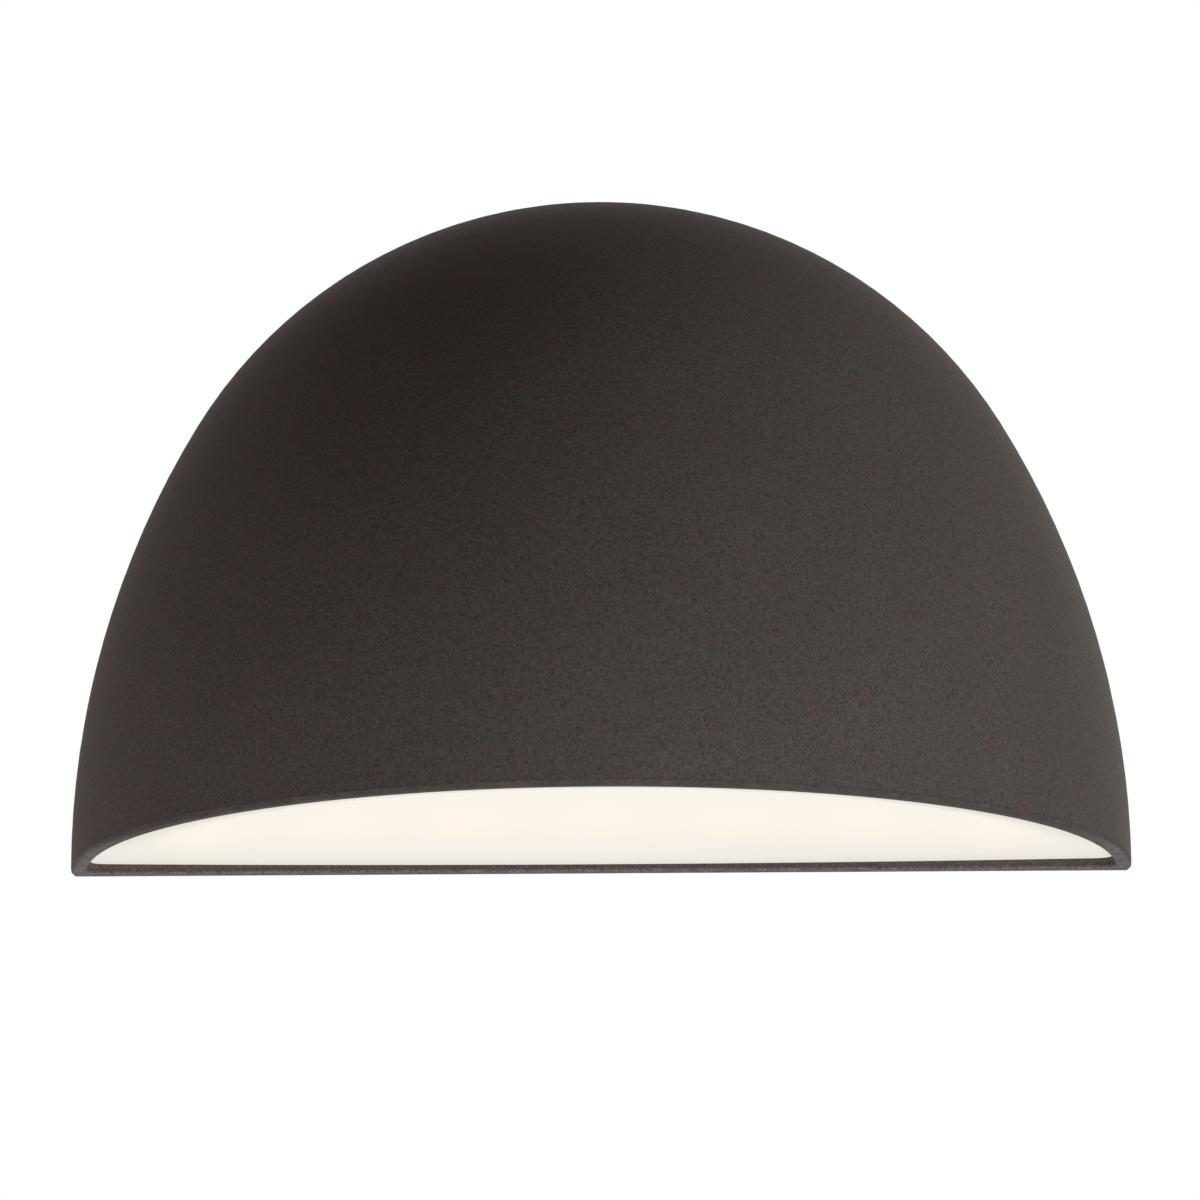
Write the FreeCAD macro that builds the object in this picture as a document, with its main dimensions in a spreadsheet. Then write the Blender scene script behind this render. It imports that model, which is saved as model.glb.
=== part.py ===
import FreeCAD, Part
import math
import os
import Sketcher

# Outdoor wall light: a half dome that shines down through a flat lens.
# Millimetres. The wall is the plane y = 0, the front faces -Y and +Z is up.
# The origin is the centre of the junction box that the mounting plate covers.

Vector = FreeCAD.Vector
Z_AXIS = Vector(0, 0, 1)
UPRIGHT = FreeCAD.Rotation()
ALONG_X = FreeCAD.Rotation(Vector(0, 1, 0), 90)
ALONG_MINUS_X = FreeCAD.Rotation(Vector(0, 1, 0), -90)
ALONG_Y = FreeCAD.Rotation(Vector(1, 0, 0), -90)
ALONG_MINUS_Y = FreeCAD.Rotation(Vector(1, 0, 0), 90)
HALF_TURN = FreeCAD.Rotation(Z_AXIS, 180)

# Driving sizes
SIZES = [
    # Housing
    ("dome_width", 254.0),
    ("dome_height", 162.0),
    ("crown_radius_share", 0.895),
    ("wall", 3.6),
    ("rim_chamfer", 1.0),
    ("rim_below_box", 76.0),
    ("rear_web_height", 28.0),
    ("wall_gasket_thickness", 1.5),
    ("wall_gasket_inset", 0.4),
    ("wall_gasket_foot_gap", 3.0),
    ("overrun", 5.0),
    ("seat_gap", 0.3),
    ("fit_gap", 0.05),
    # Lens and its ledge
    ("lens_recess", 1.5),
    ("lens_thickness", 3.0),
    ("lens_gap", 0.3),
    ("lens_corner_radius", 4.0),
    ("lens_seal_thickness", 0.6),
    ("ledge_width", 3.0),
    ("ledge_thickness", 2.4),
    # Tray that carries the light source and the driver
    ("tray_thickness", 2.0),
    ("tray_gap", 1.5),
    ("tray_rear_gap", 1.2),
    ("boss_radius", 5.0),
    ("boss_root", 1.4),
    ("boss_height", 8.0),
    ("boss_hole_depth", 6.5),
    ("front_boss_share", 0.39),
    ("rear_boss_share", 0.72),
    # Machine screws that hold the tray, driver, terminal and board
    ("screw_radius", 1.5),
    ("screw_hole_radius", 1.7),
    ("screw_head_radius", 2.8),
    ("screw_head_height", 2.0),
    ("screw_socket_radius", 1.4),
    ("screw_socket_depth", 1.2),
    ("tray_screw_length", 8.0),
    ("module_screw_length", 3.8),
    ("board_screw_length", 4.0),
    # Reflector
    ("reflector_thickness", 1.2),
    ("reflector_foot_gap", 0.3),
    ("reflector_lean", 3.0),
    # Light source
    ("led_count", 7),
    ("led_arc_share", 0.585),
    ("led_arc_radius", 208.0),
    ("led_end_margin", 8.0),
    ("led_size", 3.5),
    ("led_height", 0.8),
    ("board_width", 14.0),
    ("board_thickness", 1.6),
    ("board_end_gap", 22.4),
    ("pad_thickness", 0.5),
    # Driver
    ("driver_length", 96.0),
    ("driver_depth", 32.0),
    ("driver_height", 20.0),
    ("driver_edge_radius", 2.0),
    ("driver_cover_thickness", 2.0),
    ("driver_ear_length", 8.0),
    ("driver_ear_width", 12.0),
    ("driver_ear_thickness", 2.0),
    # Supply terminal
    ("terminal_length", 26.0),
    ("terminal_depth", 16.0),
    ("terminal_height", 15.0),
    ("terminal_pole_pitch", 8.0),
    ("terminal_entry_height", 5.0),
    ("terminal_entry_radius", 2.2),
    ("terminal_entry_depth", 6.0),
    ("terminal_screw_well_radius", 1.9),
    ("terminal_well_depth", 5.0),
    ("terminal_offset", 19.0),
    ("terminal_ear_length", 7.0),
    # Leads
    ("lead_radius", 0.9),
    ("lead_bend_radius", 4.0),
    ("lead_pitch", 3.4),
    ("lead_height", 9.0),
    ("led_lead_rise", 14.0),
    ("led_lead_reach", 18.0),
    ("lead_bushing_flange_radius", 6.0),
    ("lead_bushing_flange_height", 1.2),
    ("lead_bushing_hole_radius", 4.6),
    ("lead_bushing_bore_radius", 3.4),
    # Mounting plate
    ("plate_thickness", 2.0),
    ("plate_width", 112.0),
    ("plate_corner_radius", 18.0),
    ("flange_depth", 18.0),
    ("flange_bend_radius", 1.2),
    ("wing_height", 28.0),
    ("wing_gap", 9.0),
    ("shelf_width", 40.0),
    ("shelf_below_crown", 22.4),
    ("slot_spacing", 79.4),
    ("slot_length", 14.3),
    ("slot_radius", 2.4),
    ("wire_hole_radius", 11.0),
    ("bushing_bore_radius", 7.5),
    ("bushing_flange_radius", 13.5),
    ("bushing_flange_height", 1.6),
    ("ground_screw_radius", 2.0),
    ("ground_screw_head_across", 8.0),
    ("ground_screw_head_height", 3.0),
    ("ground_screw_offset", 30.0),
    ("ground_screw_reach", 1.6),
    # Set screws and hanging ribs
    ("set_screw_drop", 30.0),
    ("set_screw_setback", 9.5),
    ("set_screw_radius", 2.0),
    ("set_screw_length", 13.0),
    ("set_screw_socket_radius", 1.15),
    ("set_screw_socket_depth", 3.0),
    ("set_screw_boss_radius", 5.5),
    ("rib_offset", 12.0),
    ("rib_thickness", 3.0),
    ("rib_reach", 24.0),
]

doc = FreeCAD.newDocument("OutdoorWallLight")
sheet = doc.addObject("Spreadsheet::Sheet", "Sizes")
for row, (alias, value) in enumerate(SIZES, start=1):
    sheet.set(f"A{row}", alias.replace("_", " "))
    sheet.set(f"B{row}", str(value))
    sheet.setAlias(f"B{row}", alias)
doc.recompute()

# Places worked out from the sizes, as expressions. Those of the housing are in its own
# frame: heights from the rim, depths from the rear rim's plane.
HALF_WIDTH = "(Sizes.dome_width / 2)"
REAR = "(-Sizes.wall_gasket_thickness)"
RIM = "(-Sizes.rim_below_box)"
CROWN_RADIUS = f"({HALF_WIDTH} * Sizes.crown_radius_share)"
CROWN_CENTRE = f"(Sizes.dome_height - {CROWN_RADIUS})"
SIDE_RADIUS = (
    f"(({HALF_WIDTH} ^ 2 + Sizes.dome_height ^ 2 - 2 * {CROWN_RADIUS} * Sizes.dome_height)"
    f" / (2 * ({HALF_WIDTH} - {CROWN_RADIUS})))"
)
SIDE_CENTRE = f"({HALF_WIDTH} - {SIDE_RADIUS})"
INNER_RADIUS = f"({HALF_WIDTH} - Sizes.wall)"
LENS_RADIUS = f"({INNER_RADIUS} - Sizes.lens_gap)"
LENS_REAR = "(Sizes.wall + Sizes.lens_gap)"
LENS_TOP = "(Sizes.lens_recess + Sizes.lens_thickness)"
LEDGE_BOTTOM = f"({LENS_TOP} + Sizes.lens_seal_thickness)"
LEDGE_TOP = f"({LEDGE_BOTTOM} + Sizes.ledge_thickness)"
TRAY_BOTTOM = "Sizes.rear_web_height"
TRAY_TOP = f"({TRAY_BOTTOM} + Sizes.tray_thickness)"
BOARD_TOP = f"({TRAY_BOTTOM} - Sizes.pad_thickness)"
BOARD_BOTTOM = f"({BOARD_TOP} - Sizes.board_thickness)"


def side_arc_reach(inset, height):
    """Half the width at a height above the rim, on the side arc moved in by an inset."""
    return f"({SIDE_CENTRE} + sqrt(({SIDE_RADIUS} - {inset}) ^ 2 - {height} ^ 2))"


TRAY_RADIUS = f"({side_arc_reach('Sizes.wall', TRAY_TOP)} - Sizes.tray_gap)"
HEAD_TOP = f"({TRAY_TOP} + Sizes.screw_head_height)"
BOSS_REACH = f"({side_arc_reach('Sizes.wall', HEAD_TOP)} - Sizes.screw_head_radius - Sizes.seat_gap)"
FRONT_BOSS_X = f"({BOSS_REACH} * Sizes.front_boss_share)"
FRONT_BOSS_Y = f"(-{BOSS_REACH} * sqrt(1 - Sizes.front_boss_share ^ 2))"
REAR_BOSS_X = f"({BOSS_REACH} * Sizes.rear_boss_share)"
REAR_BOSS_Y = "(-Sizes.wall - Sizes.boss_radius + Sizes.boss_root)"
LED_CENTRE = f"(Sizes.led_arc_radius - {INNER_RADIUS} * Sizes.led_arc_share)"
BOARD_HALF_LENGTH = f"({INNER_RADIUS} - Sizes.board_end_gap)"
LED_PITCH = f"(2 * ({BOARD_HALF_LENGTH} - Sizes.led_end_margin) / (Sizes.led_count - 1))"
DRIVER_RIGHT = "(Sizes.driver_length / 2)"
LED_LEAD_X = f"({DRIVER_RIGHT} + Sizes.led_lead_reach)"


def led_arc_y(x):
    """Where the light source's arc lies at a distance x from the middle."""
    return f"({LED_CENTRE} - sqrt(Sizes.led_arc_radius ^ 2 - {x} ^ 2))"


DRIVER_Y = led_arc_y(LED_LEAD_X)
TERMINAL_X = f"(-{DRIVER_RIGHT} - Sizes.terminal_offset)"
TERMINAL_FRONT = f"({DRIVER_Y} + Sizes.terminal_offset / 2 + Sizes.lead_pitch)"
TERMINAL_Y = f"({TERMINAL_FRONT} + Sizes.terminal_depth / 2)"

# Places of the mounting plate, from the centre of the junction box
WING_TOP = "(Sizes.wing_height / 2 - Sizes.set_screw_drop)"
WING_BOTTOM = "(-Sizes.wing_height / 2 - Sizes.set_screw_drop)"
WING_TOP_ABOVE_RIM = f"(Sizes.rim_below_box + {WING_TOP})"
FLANGE_X = f"({side_arc_reach('Sizes.wall', WING_TOP_ABOVE_RIM)} - Sizes.wing_gap)"
SHELF_TOP = "(Sizes.dome_height - Sizes.rim_below_box - Sizes.wall - Sizes.shelf_below_crown)"

# Places of the set screws and ribs in the housing's frame
SET_SCREW_Y = "(Sizes.wall_gasket_thickness - Sizes.set_screw_setback)"
SET_SCREW_Z = "(Sizes.rim_below_box - Sizes.set_screw_drop)"
RIB_BOTTOM = f"(Sizes.rim_below_box + {SHELF_TOP} + Sizes.seat_gap)"


# Helpers
def number(expression):
    """The present value of an expression in the sheet's sizes."""
    return float(sheet.evalExpression(expression))


def bind(thing, expressions):
    for path, expression in expressions.items():
        thing.setExpression(path, expression)


def place(thing, x, y, z):
    bind(thing, {"Placement.Base.x": x, "Placement.Base.y": y, "Placement.Base.z": z})


def place_in_housing(thing, x, y, z):
    place(thing, x, f"{REAR} + {y}", f"{RIM} + {z}")


def box(name, x, y, z, length, width, height):
    """A block from its lowest corner, in the housing's frame."""
    block = doc.addObject("Part::Box", name)
    bind(block, {"Length": length, "Width": width, "Height": height})
    place_in_housing(block, x, y, z)
    return block


def cylinder(name, x, y, z, radius, height, turn=UPRIGHT, put=place_in_housing):
    """A round bar from the middle of its foot, along the axis that the turn gives it."""
    bar = doc.addObject("Part::Cylinder", name)
    bind(bar, {"Radius": radius, "Height": height})
    bar.Placement.Rotation = turn
    put(bar, x, y, z)
    return bar


def hexagon(name, x, y, z, radius, height, turn=UPRIGHT, put=place_in_housing):
    prism = doc.addObject("Part::Prism", name)
    prism.Polygon = 6
    bind(prism, {"Circumradius": radius, "Height": height})
    prism.Placement.Rotation = turn
    put(prism, x, y, z)
    return prism


def fuse(name, parts):
    joined = doc.addObject("Part::MultiFuse", name)
    joined.Shapes = parts
    return joined


def cut(name, base, tools):
    remains = doc.addObject("Part::Cut", name)
    remains.Base = base
    remains.Tool = tools[0] if len(tools) == 1 else fuse(name + "_tools", tools)
    return remains


def group(name, members):
    """Identical pieces that share one node, as separate solids."""
    gathered = doc.addObject("Part::Compound", name)
    gathered.Links = members
    return gathered


def half_round(name, radius, rear, bottom, thickness):
    """A body: a half disc about the housing's axis, cut straight at its rear."""
    body = doc.addObject("PartDesign::Body", name)
    sketch = new_sketch(body, name + "_outline", "XY_Plane")
    r, back = number(radius), number(rear)
    lift = math.asin(back / r)
    circle = Part.Circle(Vector(0, 0, 0), Z_AXIS, r)
    sketch.addGeometry(Part.ArcOfCircle(circle, math.pi + lift, 2 * math.pi - lift), False)
    ends = [sketch.getPoint(0, 2), sketch.getPoint(0, 1)]
    sketch.addGeometry(Part.LineSegment(ends[0], ends[1]), False)
    constrain(sketch, "Coincident", 0, 3, -1, 1)
    constrain(sketch, "Coincident", 1, 1, 0, 2)
    constrain(sketch, "Coincident", 1, 2, 0, 1)
    constrain(sketch, "Horizontal", 1)
    drive(sketch, "Radius", (0,), radius)
    drive(sketch, "DistanceY", (-1, 1, 1, 1), f"-{rear}")
    pad(body, name + "_plate", sketch, thickness)
    place_in_housing(body, "0", "0", bottom)
    return body


def origin_plane(body, role):
    return [part for part in body.Origin.OriginFeatures if part.Role == role][0]


def new_sketch(body, name, role):
    sketch = body.newObject("Sketcher::SketchObject", name)
    sketch.AttachmentSupport = [(origin_plane(body, role), "")]
    sketch.MapMode = "FlatFace"
    return sketch


def constrain(sketch, kind, *targets):
    return sketch.addConstraint(Sketcher.Constraint(kind, *targets))


def drive(sketch, kind, targets, expression):
    """A dimension of the sketch that follows an expression."""
    index = constrain(sketch, kind, *targets, number(expression))
    sketch.setExpression(f"Constraints[{index}]", expression)


def add_rectangle(sketch, left, right, bottom, top):
    x0, x1, y0, y1 = number(left), number(right), number(bottom), number(top)
    corners = [Vector(x0, y0, 0), Vector(x1, y0, 0), Vector(x1, y1, 0), Vector(x0, y1, 0)]
    first = sketch.GeometryCount
    for start, end in zip(corners, corners[1:] + corners[:1]):
        sketch.addGeometry(Part.LineSegment(start, end), False)
    for side in range(4):
        constrain(sketch, "Coincident", first + side, 2, first + (side + 1) % 4, 1)
        constrain(sketch, "Vertical" if side % 2 else "Horizontal", first + side)
    drive(sketch, "DistanceX", (-1, 1, first, 1), left)
    drive(sketch, "DistanceY", (-1, 1, first, 1), bottom)
    drive(sketch, "DistanceX", (-1, 1, first + 1, 2), right)
    drive(sketch, "DistanceY", (-1, 1, first + 1, 2), top)


def add_circle(sketch, x, y, radius):
    centre = Vector(number(x), number(y), 0)
    index = sketch.addGeometry(Part.Circle(centre, Z_AXIS, number(radius)), False)
    drive(sketch, "DistanceX", (-1, 1, index, 3), x)
    drive(sketch, "DistanceY", (-1, 1, index, 3), y)
    drive(sketch, "Radius", (index,), radius)


def add_polyline(sketch, points):
    """A closed outline of straight lines through points given as expressions."""
    places = [Vector(number(x), number(y), 0) for x, y in points]
    first = sketch.GeometryCount
    count = len(points)
    for start, end in zip(places, places[1:] + places[:1]):
        sketch.addGeometry(Part.LineSegment(start, end), False)
    for side in range(count):
        constrain(sketch, "Coincident", first + side, 2, first + (side + 1) % count, 1)
    for side, (x, y) in enumerate(points):
        drive(sketch, "DistanceX", (-1, 1, first + side, 1), x)
        drive(sketch, "DistanceY", (-1, 1, first + side, 1), y)


def joint_angle():
    """The rise of the line through both arcs' centres, on which side arc and crown arc meet."""
    return math.atan2(number(CROWN_CENTRE), -number(SIDE_CENTRE))


def pad(body, name, sketch, length, reverse=False):
    solid = body.newObject("PartDesign::Pad", name)
    solid.Profile = sketch
    solid.Reversed = reverse
    bind(solid, {"Length": length})
    return solid


def pocket_through(body, name, sketch):
    hole = body.newObject("PartDesign::Pocket", name)
    hole.Profile = sketch
    hole.Type = "ThroughAll"
    hole.Midplane = True
    return hole


def revolve(body, name, sketch):
    """Turns a profile about the sketch's own upright axis."""
    solid = body.newObject("PartDesign::Revolution", name)
    solid.Profile = sketch
    solid.ReferenceAxis = (sketch, ["V_Axis"])
    solid.Angle = 360
    return solid


# Housing
def make_outer_dome(body):
    """Half the front outline, a side arc and a crown arc over a bevelled rim edge, turned."""
    height, bevel = number("Sizes.dome_height"), number("Sizes.rim_chamfer")
    side, side_x = number(SIDE_RADIUS), number(SIDE_CENTRE)
    crown, crown_z, joint = number(CROWN_RADIUS), number(CROWN_CENTRE), joint_angle()
    foot = Vector(side_x + math.sqrt(side ** 2 - bevel ** 2), bevel, 0)
    rim = Vector(foot.x - bevel, 0, 0)
    start, right = math.asin(bevel / side), math.pi / 2
    sketch = new_sketch(body, "dome_outline", "XZ_Plane")
    sketch.addGeometry(Part.LineSegment(Vector(0, 0, 0), rim), False)
    sketch.addGeometry(Part.LineSegment(rim, foot), False)
    arcs = [
        (Vector(side_x, 0, 0), side, start, joint),
        (Vector(0, crown_z, 0), crown, joint, right),
    ]
    for centre, radius, start, end in arcs:
        circle = Part.Circle(centre, Z_AXIS, radius)
        sketch.addGeometry(Part.ArcOfCircle(circle, start, end), False)
    sketch.addGeometry(Part.LineSegment(Vector(0, height, 0), Vector(0, 0, 0)), False)
    constrain(sketch, "Coincident", 0, 1, -1, 1)
    constrain(sketch, "Horizontal", 0)
    constrain(sketch, "Coincident", 0, 2, 1, 1)
    constrain(sketch, "Coincident", 1, 2, 2, 1)
    constrain(sketch, "Tangent", 2, 2, 3, 1)
    constrain(sketch, "Coincident", 3, 2, 4, 1)
    constrain(sketch, "Coincident", 4, 2, 0, 1)
    constrain(sketch, "Vertical", 4)
    constrain(sketch, "PointOnObject", 2, 3, -1)
    constrain(sketch, "PointOnObject", 3, 3, -2)
    drive(sketch, "DistanceX", (-1, 1, 2, 3), SIDE_CENTRE)
    drive(sketch, "Radius", (2,), SIDE_RADIUS)
    drive(sketch, "DistanceX", (1, 1, 1, 2), "Sizes.rim_chamfer")
    drive(sketch, "DistanceY", (1, 1, 1, 2), "Sizes.rim_chamfer")
    drive(sketch, "DistanceY", (-1, 1, 4, 1), "Sizes.dome_height")
    dome = revolve(body, "dome_turned", sketch)
    dome.Angle = 180
    dome.Reversed = True


def cut_cavity(body):
    """Turns out the lens pocket, the lens opening within its ledge, and the dome's inside."""
    side, side_x = number(f"{SIDE_RADIUS} - Sizes.wall"), number(SIDE_CENTRE)
    crown, crown_z, joint = number(f"{CROWN_RADIUS} - Sizes.wall"), number(CROWN_CENTRE), joint_angle()
    inner, opening = number(INNER_RADIUS), number(f"{INNER_RADIUS} - Sizes.ledge_width")
    under, over = number(LEDGE_BOTTOM), number(LEDGE_TOP)
    below = -number("Sizes.overrun")
    start = math.asin(over / side)
    foot_x = side_x + side * math.cos(start)
    sketch = new_sketch(body, "cavity_outline", "XZ_Plane")
    corners = [
        (0, below),
        (inner, below),
        (inner, under),
        (opening, under),
        (opening, over),
        (foot_x, over),
    ]
    for (x0, z0), (x1, z1) in zip(corners, corners[1:]):
        sketch.addGeometry(Part.LineSegment(Vector(x0, z0, 0), Vector(x1, z1, 0)), False)
    side_circle = Part.Circle(Vector(side_x, 0, 0), Z_AXIS, side)
    sketch.addGeometry(Part.ArcOfCircle(side_circle, start, joint), False)
    crown_circle = Part.Circle(Vector(0, crown_z, 0), Z_AXIS, crown)
    sketch.addGeometry(Part.ArcOfCircle(crown_circle, joint, math.pi / 2), False)
    sketch.addGeometry(Part.LineSegment(Vector(0, crown_z + crown, 0), Vector(0, below, 0)), False)
    for line in range(4):
        constrain(sketch, "Coincident", line, 2, line + 1, 1)
    for line in (0, 2, 4):
        constrain(sketch, "Horizontal", line)
    for line in (1, 3, 7):
        constrain(sketch, "Vertical", line)
    constrain(sketch, "Coincident", 4, 2, 5, 1)
    constrain(sketch, "Tangent", 5, 2, 6, 1)
    constrain(sketch, "Coincident", 6, 2, 7, 1)
    constrain(sketch, "Coincident", 7, 2, 0, 1)
    constrain(sketch, "PointOnObject", 0, 1, -2)
    constrain(sketch, "PointOnObject", 5, 3, -1)
    constrain(sketch, "PointOnObject", 6, 3, -2)
    drive(sketch, "DistanceY", (-1, 1, 0, 1), "-Sizes.overrun")
    drive(sketch, "DistanceX", (-1, 1, 1, 1), INNER_RADIUS)
    drive(sketch, "DistanceY", (-1, 1, 2, 1), LEDGE_BOTTOM)
    drive(sketch, "DistanceX", (-1, 1, 3, 1), f"{INNER_RADIUS} - Sizes.ledge_width")
    drive(sketch, "DistanceY", (-1, 1, 4, 1), LEDGE_TOP)
    drive(sketch, "DistanceX", (-1, 1, 5, 3), SIDE_CENTRE)
    drive(sketch, "Radius", (5,), f"{SIDE_RADIUS} - Sizes.wall")
    drive(sketch, "DistanceY", (-1, 1, 7, 1), "Sizes.dome_height - Sizes.wall")
    groove = body.newObject("PartDesign::Groove", "dome_cavity")
    groove.Profile = sketch
    groove.ReferenceAxis = (sketch, ["V_Axis"])
    groove.Angle = 360


def add_rear_web(body):
    """A low wall that closes the light chamber at the rear, and the ledge along it."""
    reach, side_x = number(f"{SIDE_RADIUS} - Sizes.wall / 2"), number(SIDE_CENTRE)
    swing = math.asin(number("Sizes.rear_web_height") / reach)
    sketch = new_sketch(body, "rear_web_outline", "XZ_Plane")
    right_circle = Part.Circle(Vector(side_x, 0, 0), Z_AXIS, reach)
    left_circle = Part.Circle(Vector(-side_x, 0, 0), Z_AXIS, reach)
    sketch.addGeometry(Part.ArcOfCircle(right_circle, 0, swing), False)
    sketch.addGeometry(Part.ArcOfCircle(left_circle, math.pi - swing, math.pi), False)
    for start, end in (((0, 2), (1, 1)), ((1, 2), (0, 1))):
        line = sketch.addGeometry(Part.LineSegment(sketch.getPoint(*start), sketch.getPoint(*end)), False)
        constrain(sketch, "Coincident", line, 1, *start)
        constrain(sketch, "Coincident", line, 2, *end)
        constrain(sketch, "Horizontal", line)
    for arc in (0, 1):
        constrain(sketch, "PointOnObject", arc, 3, -1)
        drive(sketch, "Radius", (arc,), f"{SIDE_RADIUS} - Sizes.wall / 2")
    drive(sketch, "DistanceX", (-1, 1, 0, 3), SIDE_CENTRE)
    drive(sketch, "DistanceX", (-1, 1, 1, 3), "-" + SIDE_CENTRE)
    drive(sketch, "DistanceY", (-1, 1, 2, 1), TRAY_BOTTOM)
    constrain(sketch, "PointOnObject", 0, 1, -1)
    pad(body, "rear_web", sketch, "Sizes.wall")
    bar = new_sketch(body, "rear_ledge_outline", "XY_Plane")
    bind(bar, {"AttachmentOffset.Base.z": LEDGE_BOTTOM})
    half = f"({INNER_RADIUS} + Sizes.wall / 2)"
    add_rectangle(bar, "-" + half, half, "-Sizes.wall - Sizes.ledge_width", "-Sizes.wall / 2")
    pad(body, "rear_ledge", bar, "Sizes.ledge_thickness")


def round_pocket_corners(body):
    """Rounds the lens pocket where its curved wall meets the rear web."""
    doc.recompute()
    base = body.Tip
    names = []
    for index, edge in enumerate(base.Shape.Edges, start=1):
        bounds = edge.BoundBox
        upright = abs(bounds.ZLength - number(LEDGE_BOTTOM)) < number("Sizes.seat_gap")
        at_web = abs(bounds.YMin + number("Sizes.wall")) < number("Sizes.seat_gap")
        if upright and at_web and bounds.XLength < number("Sizes.seat_gap"):
            names.append(f"Edge{index}")
    fillet = body.newObject("PartDesign::Fillet", "lens_pocket_corners")
    fillet.Base = (base, names)
    bind(fillet, {"Radius": "Sizes.lens_corner_radius"})


def add_lugs(body):
    """Tray bosses, set screw bosses and the two ribs that hang on the plate's shelf."""
    bosses = new_sketch(body, "tray_boss_outlines", "XY_Plane")
    bind(bosses, {"AttachmentOffset.Base.z": f"{TRAY_BOTTOM} - Sizes.boss_height"})
    for _, x, y in screw_spots():
        add_circle(bosses, x, y, "Sizes.boss_radius")
    pad(body, "tray_bosses", bosses, "Sizes.boss_height")
    for side, sign in (("right", ""), ("left", "-")):
        start = f"({FLANGE_X} + Sizes.seat_gap)"
        end = f"({side_arc_reach('Sizes.wall', SET_SCREW_Z)} + Sizes.wall / 2)"
        outline = new_sketch(body, f"set_screw_boss_outline_{side}", "YZ_Plane")
        bind(outline, {"AttachmentOffset.Base.z": sign + start})
        add_circle(outline, SET_SCREW_Y, SET_SCREW_Z, "Sizes.set_screw_boss_radius")
        pad(body, f"set_screw_boss_{side}", outline, f"{end} - {start}", reverse=bool(sign))
        add_hanging_rib(body, side, sign)


def add_hanging_rib(body, side, sign):
    """A rib whose top edge runs inside the crown's wall."""
    rear_span = "Sizes.rib_offset"
    front_span = "sqrt(Sizes.rib_offset ^ 2 + Sizes.rib_reach ^ 2)"
    heights = [
        f"({CROWN_CENTRE} + sqrt(({CROWN_RADIUS} - Sizes.wall / 2) ^ 2 - ({span}) ^ 2))"
        for span in (rear_span, front_span)
    ]
    outline = new_sketch(body, f"rib_outline_{side}", "YZ_Plane")
    bind(outline, {"AttachmentOffset.Base.z": sign + "Sizes.rib_offset"})
    rear = "(-Sizes.wall / 2)"
    add_polyline(outline, [
        (rear, RIB_BOTTOM),
        (rear, heights[0]),
        ("-Sizes.rib_reach", heights[1]),
        ("-Sizes.rib_reach", RIB_BOTTOM),
    ])
    rib = pad(body, f"hanging_rib_{side}", outline, "Sizes.rib_thickness")
    rib.Midplane = True


def drill_housing(body):
    holes = new_sketch(body, "tray_screw_holes", "XY_Plane")
    bind(holes, {"AttachmentOffset.Base.z": TRAY_BOTTOM})
    for _, x, y in screw_spots():
        add_circle(holes, x, y, "Sizes.screw_radius + Sizes.fit_gap")
    doc.recompute()
    pocket = body.newObject("PartDesign::Pocket", "tray_screw_threads")
    pocket.Profile = holes
    bind(pocket, {"Length": "Sizes.boss_hole_depth"})
    across = new_sketch(body, "set_screw_hole", "YZ_Plane")
    add_circle(across, SET_SCREW_Y, SET_SCREW_Z, "Sizes.set_screw_radius + Sizes.fit_gap")
    doc.recompute()
    pocket_through(body, "set_screw_holes", across)


def make_dome_housing():
    """Cast shell: open at the rear above a low web, with a ledge round the lens opening."""
    body = doc.addObject("PartDesign::Body", "dome_housing")
    make_outer_dome(body)
    doc.recompute()
    cut_cavity(body)
    add_rear_web(body)
    round_pocket_corners(body)
    add_lugs(body)
    doc.recompute()
    drill_housing(body)
    place_in_housing(body, "0", "0", "0")


def make_wall_gasket():
    """A foam strip round the arch of the rear rim, open at the bottom to drain."""
    body = doc.addObject("PartDesign::Body", "wall_gasket")
    sketch = new_sketch(body, "wall_gasket_outline", "XZ_Plane")
    for inset in ("Sizes.wall_gasket_inset", "(Sizes.wall - Sizes.wall_gasket_inset)"):
        add_arch(sketch, inset)
    for side_arc, position in ((0, 1), (2, 2)):
        ends = [sketch.getPoint(side_arc + offset, position) for offset in (0, 3)]
        line = sketch.addGeometry(Part.LineSegment(ends[0], ends[1]), False)
        constrain(sketch, "Coincident", line, 1, side_arc, position)
        constrain(sketch, "Coincident", line, 2, side_arc + 3, position)
    pad(body, "wall_gasket_strip", sketch, "Sizes.wall_gasket_thickness")
    place(body, "0", "0", RIM)


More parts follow.
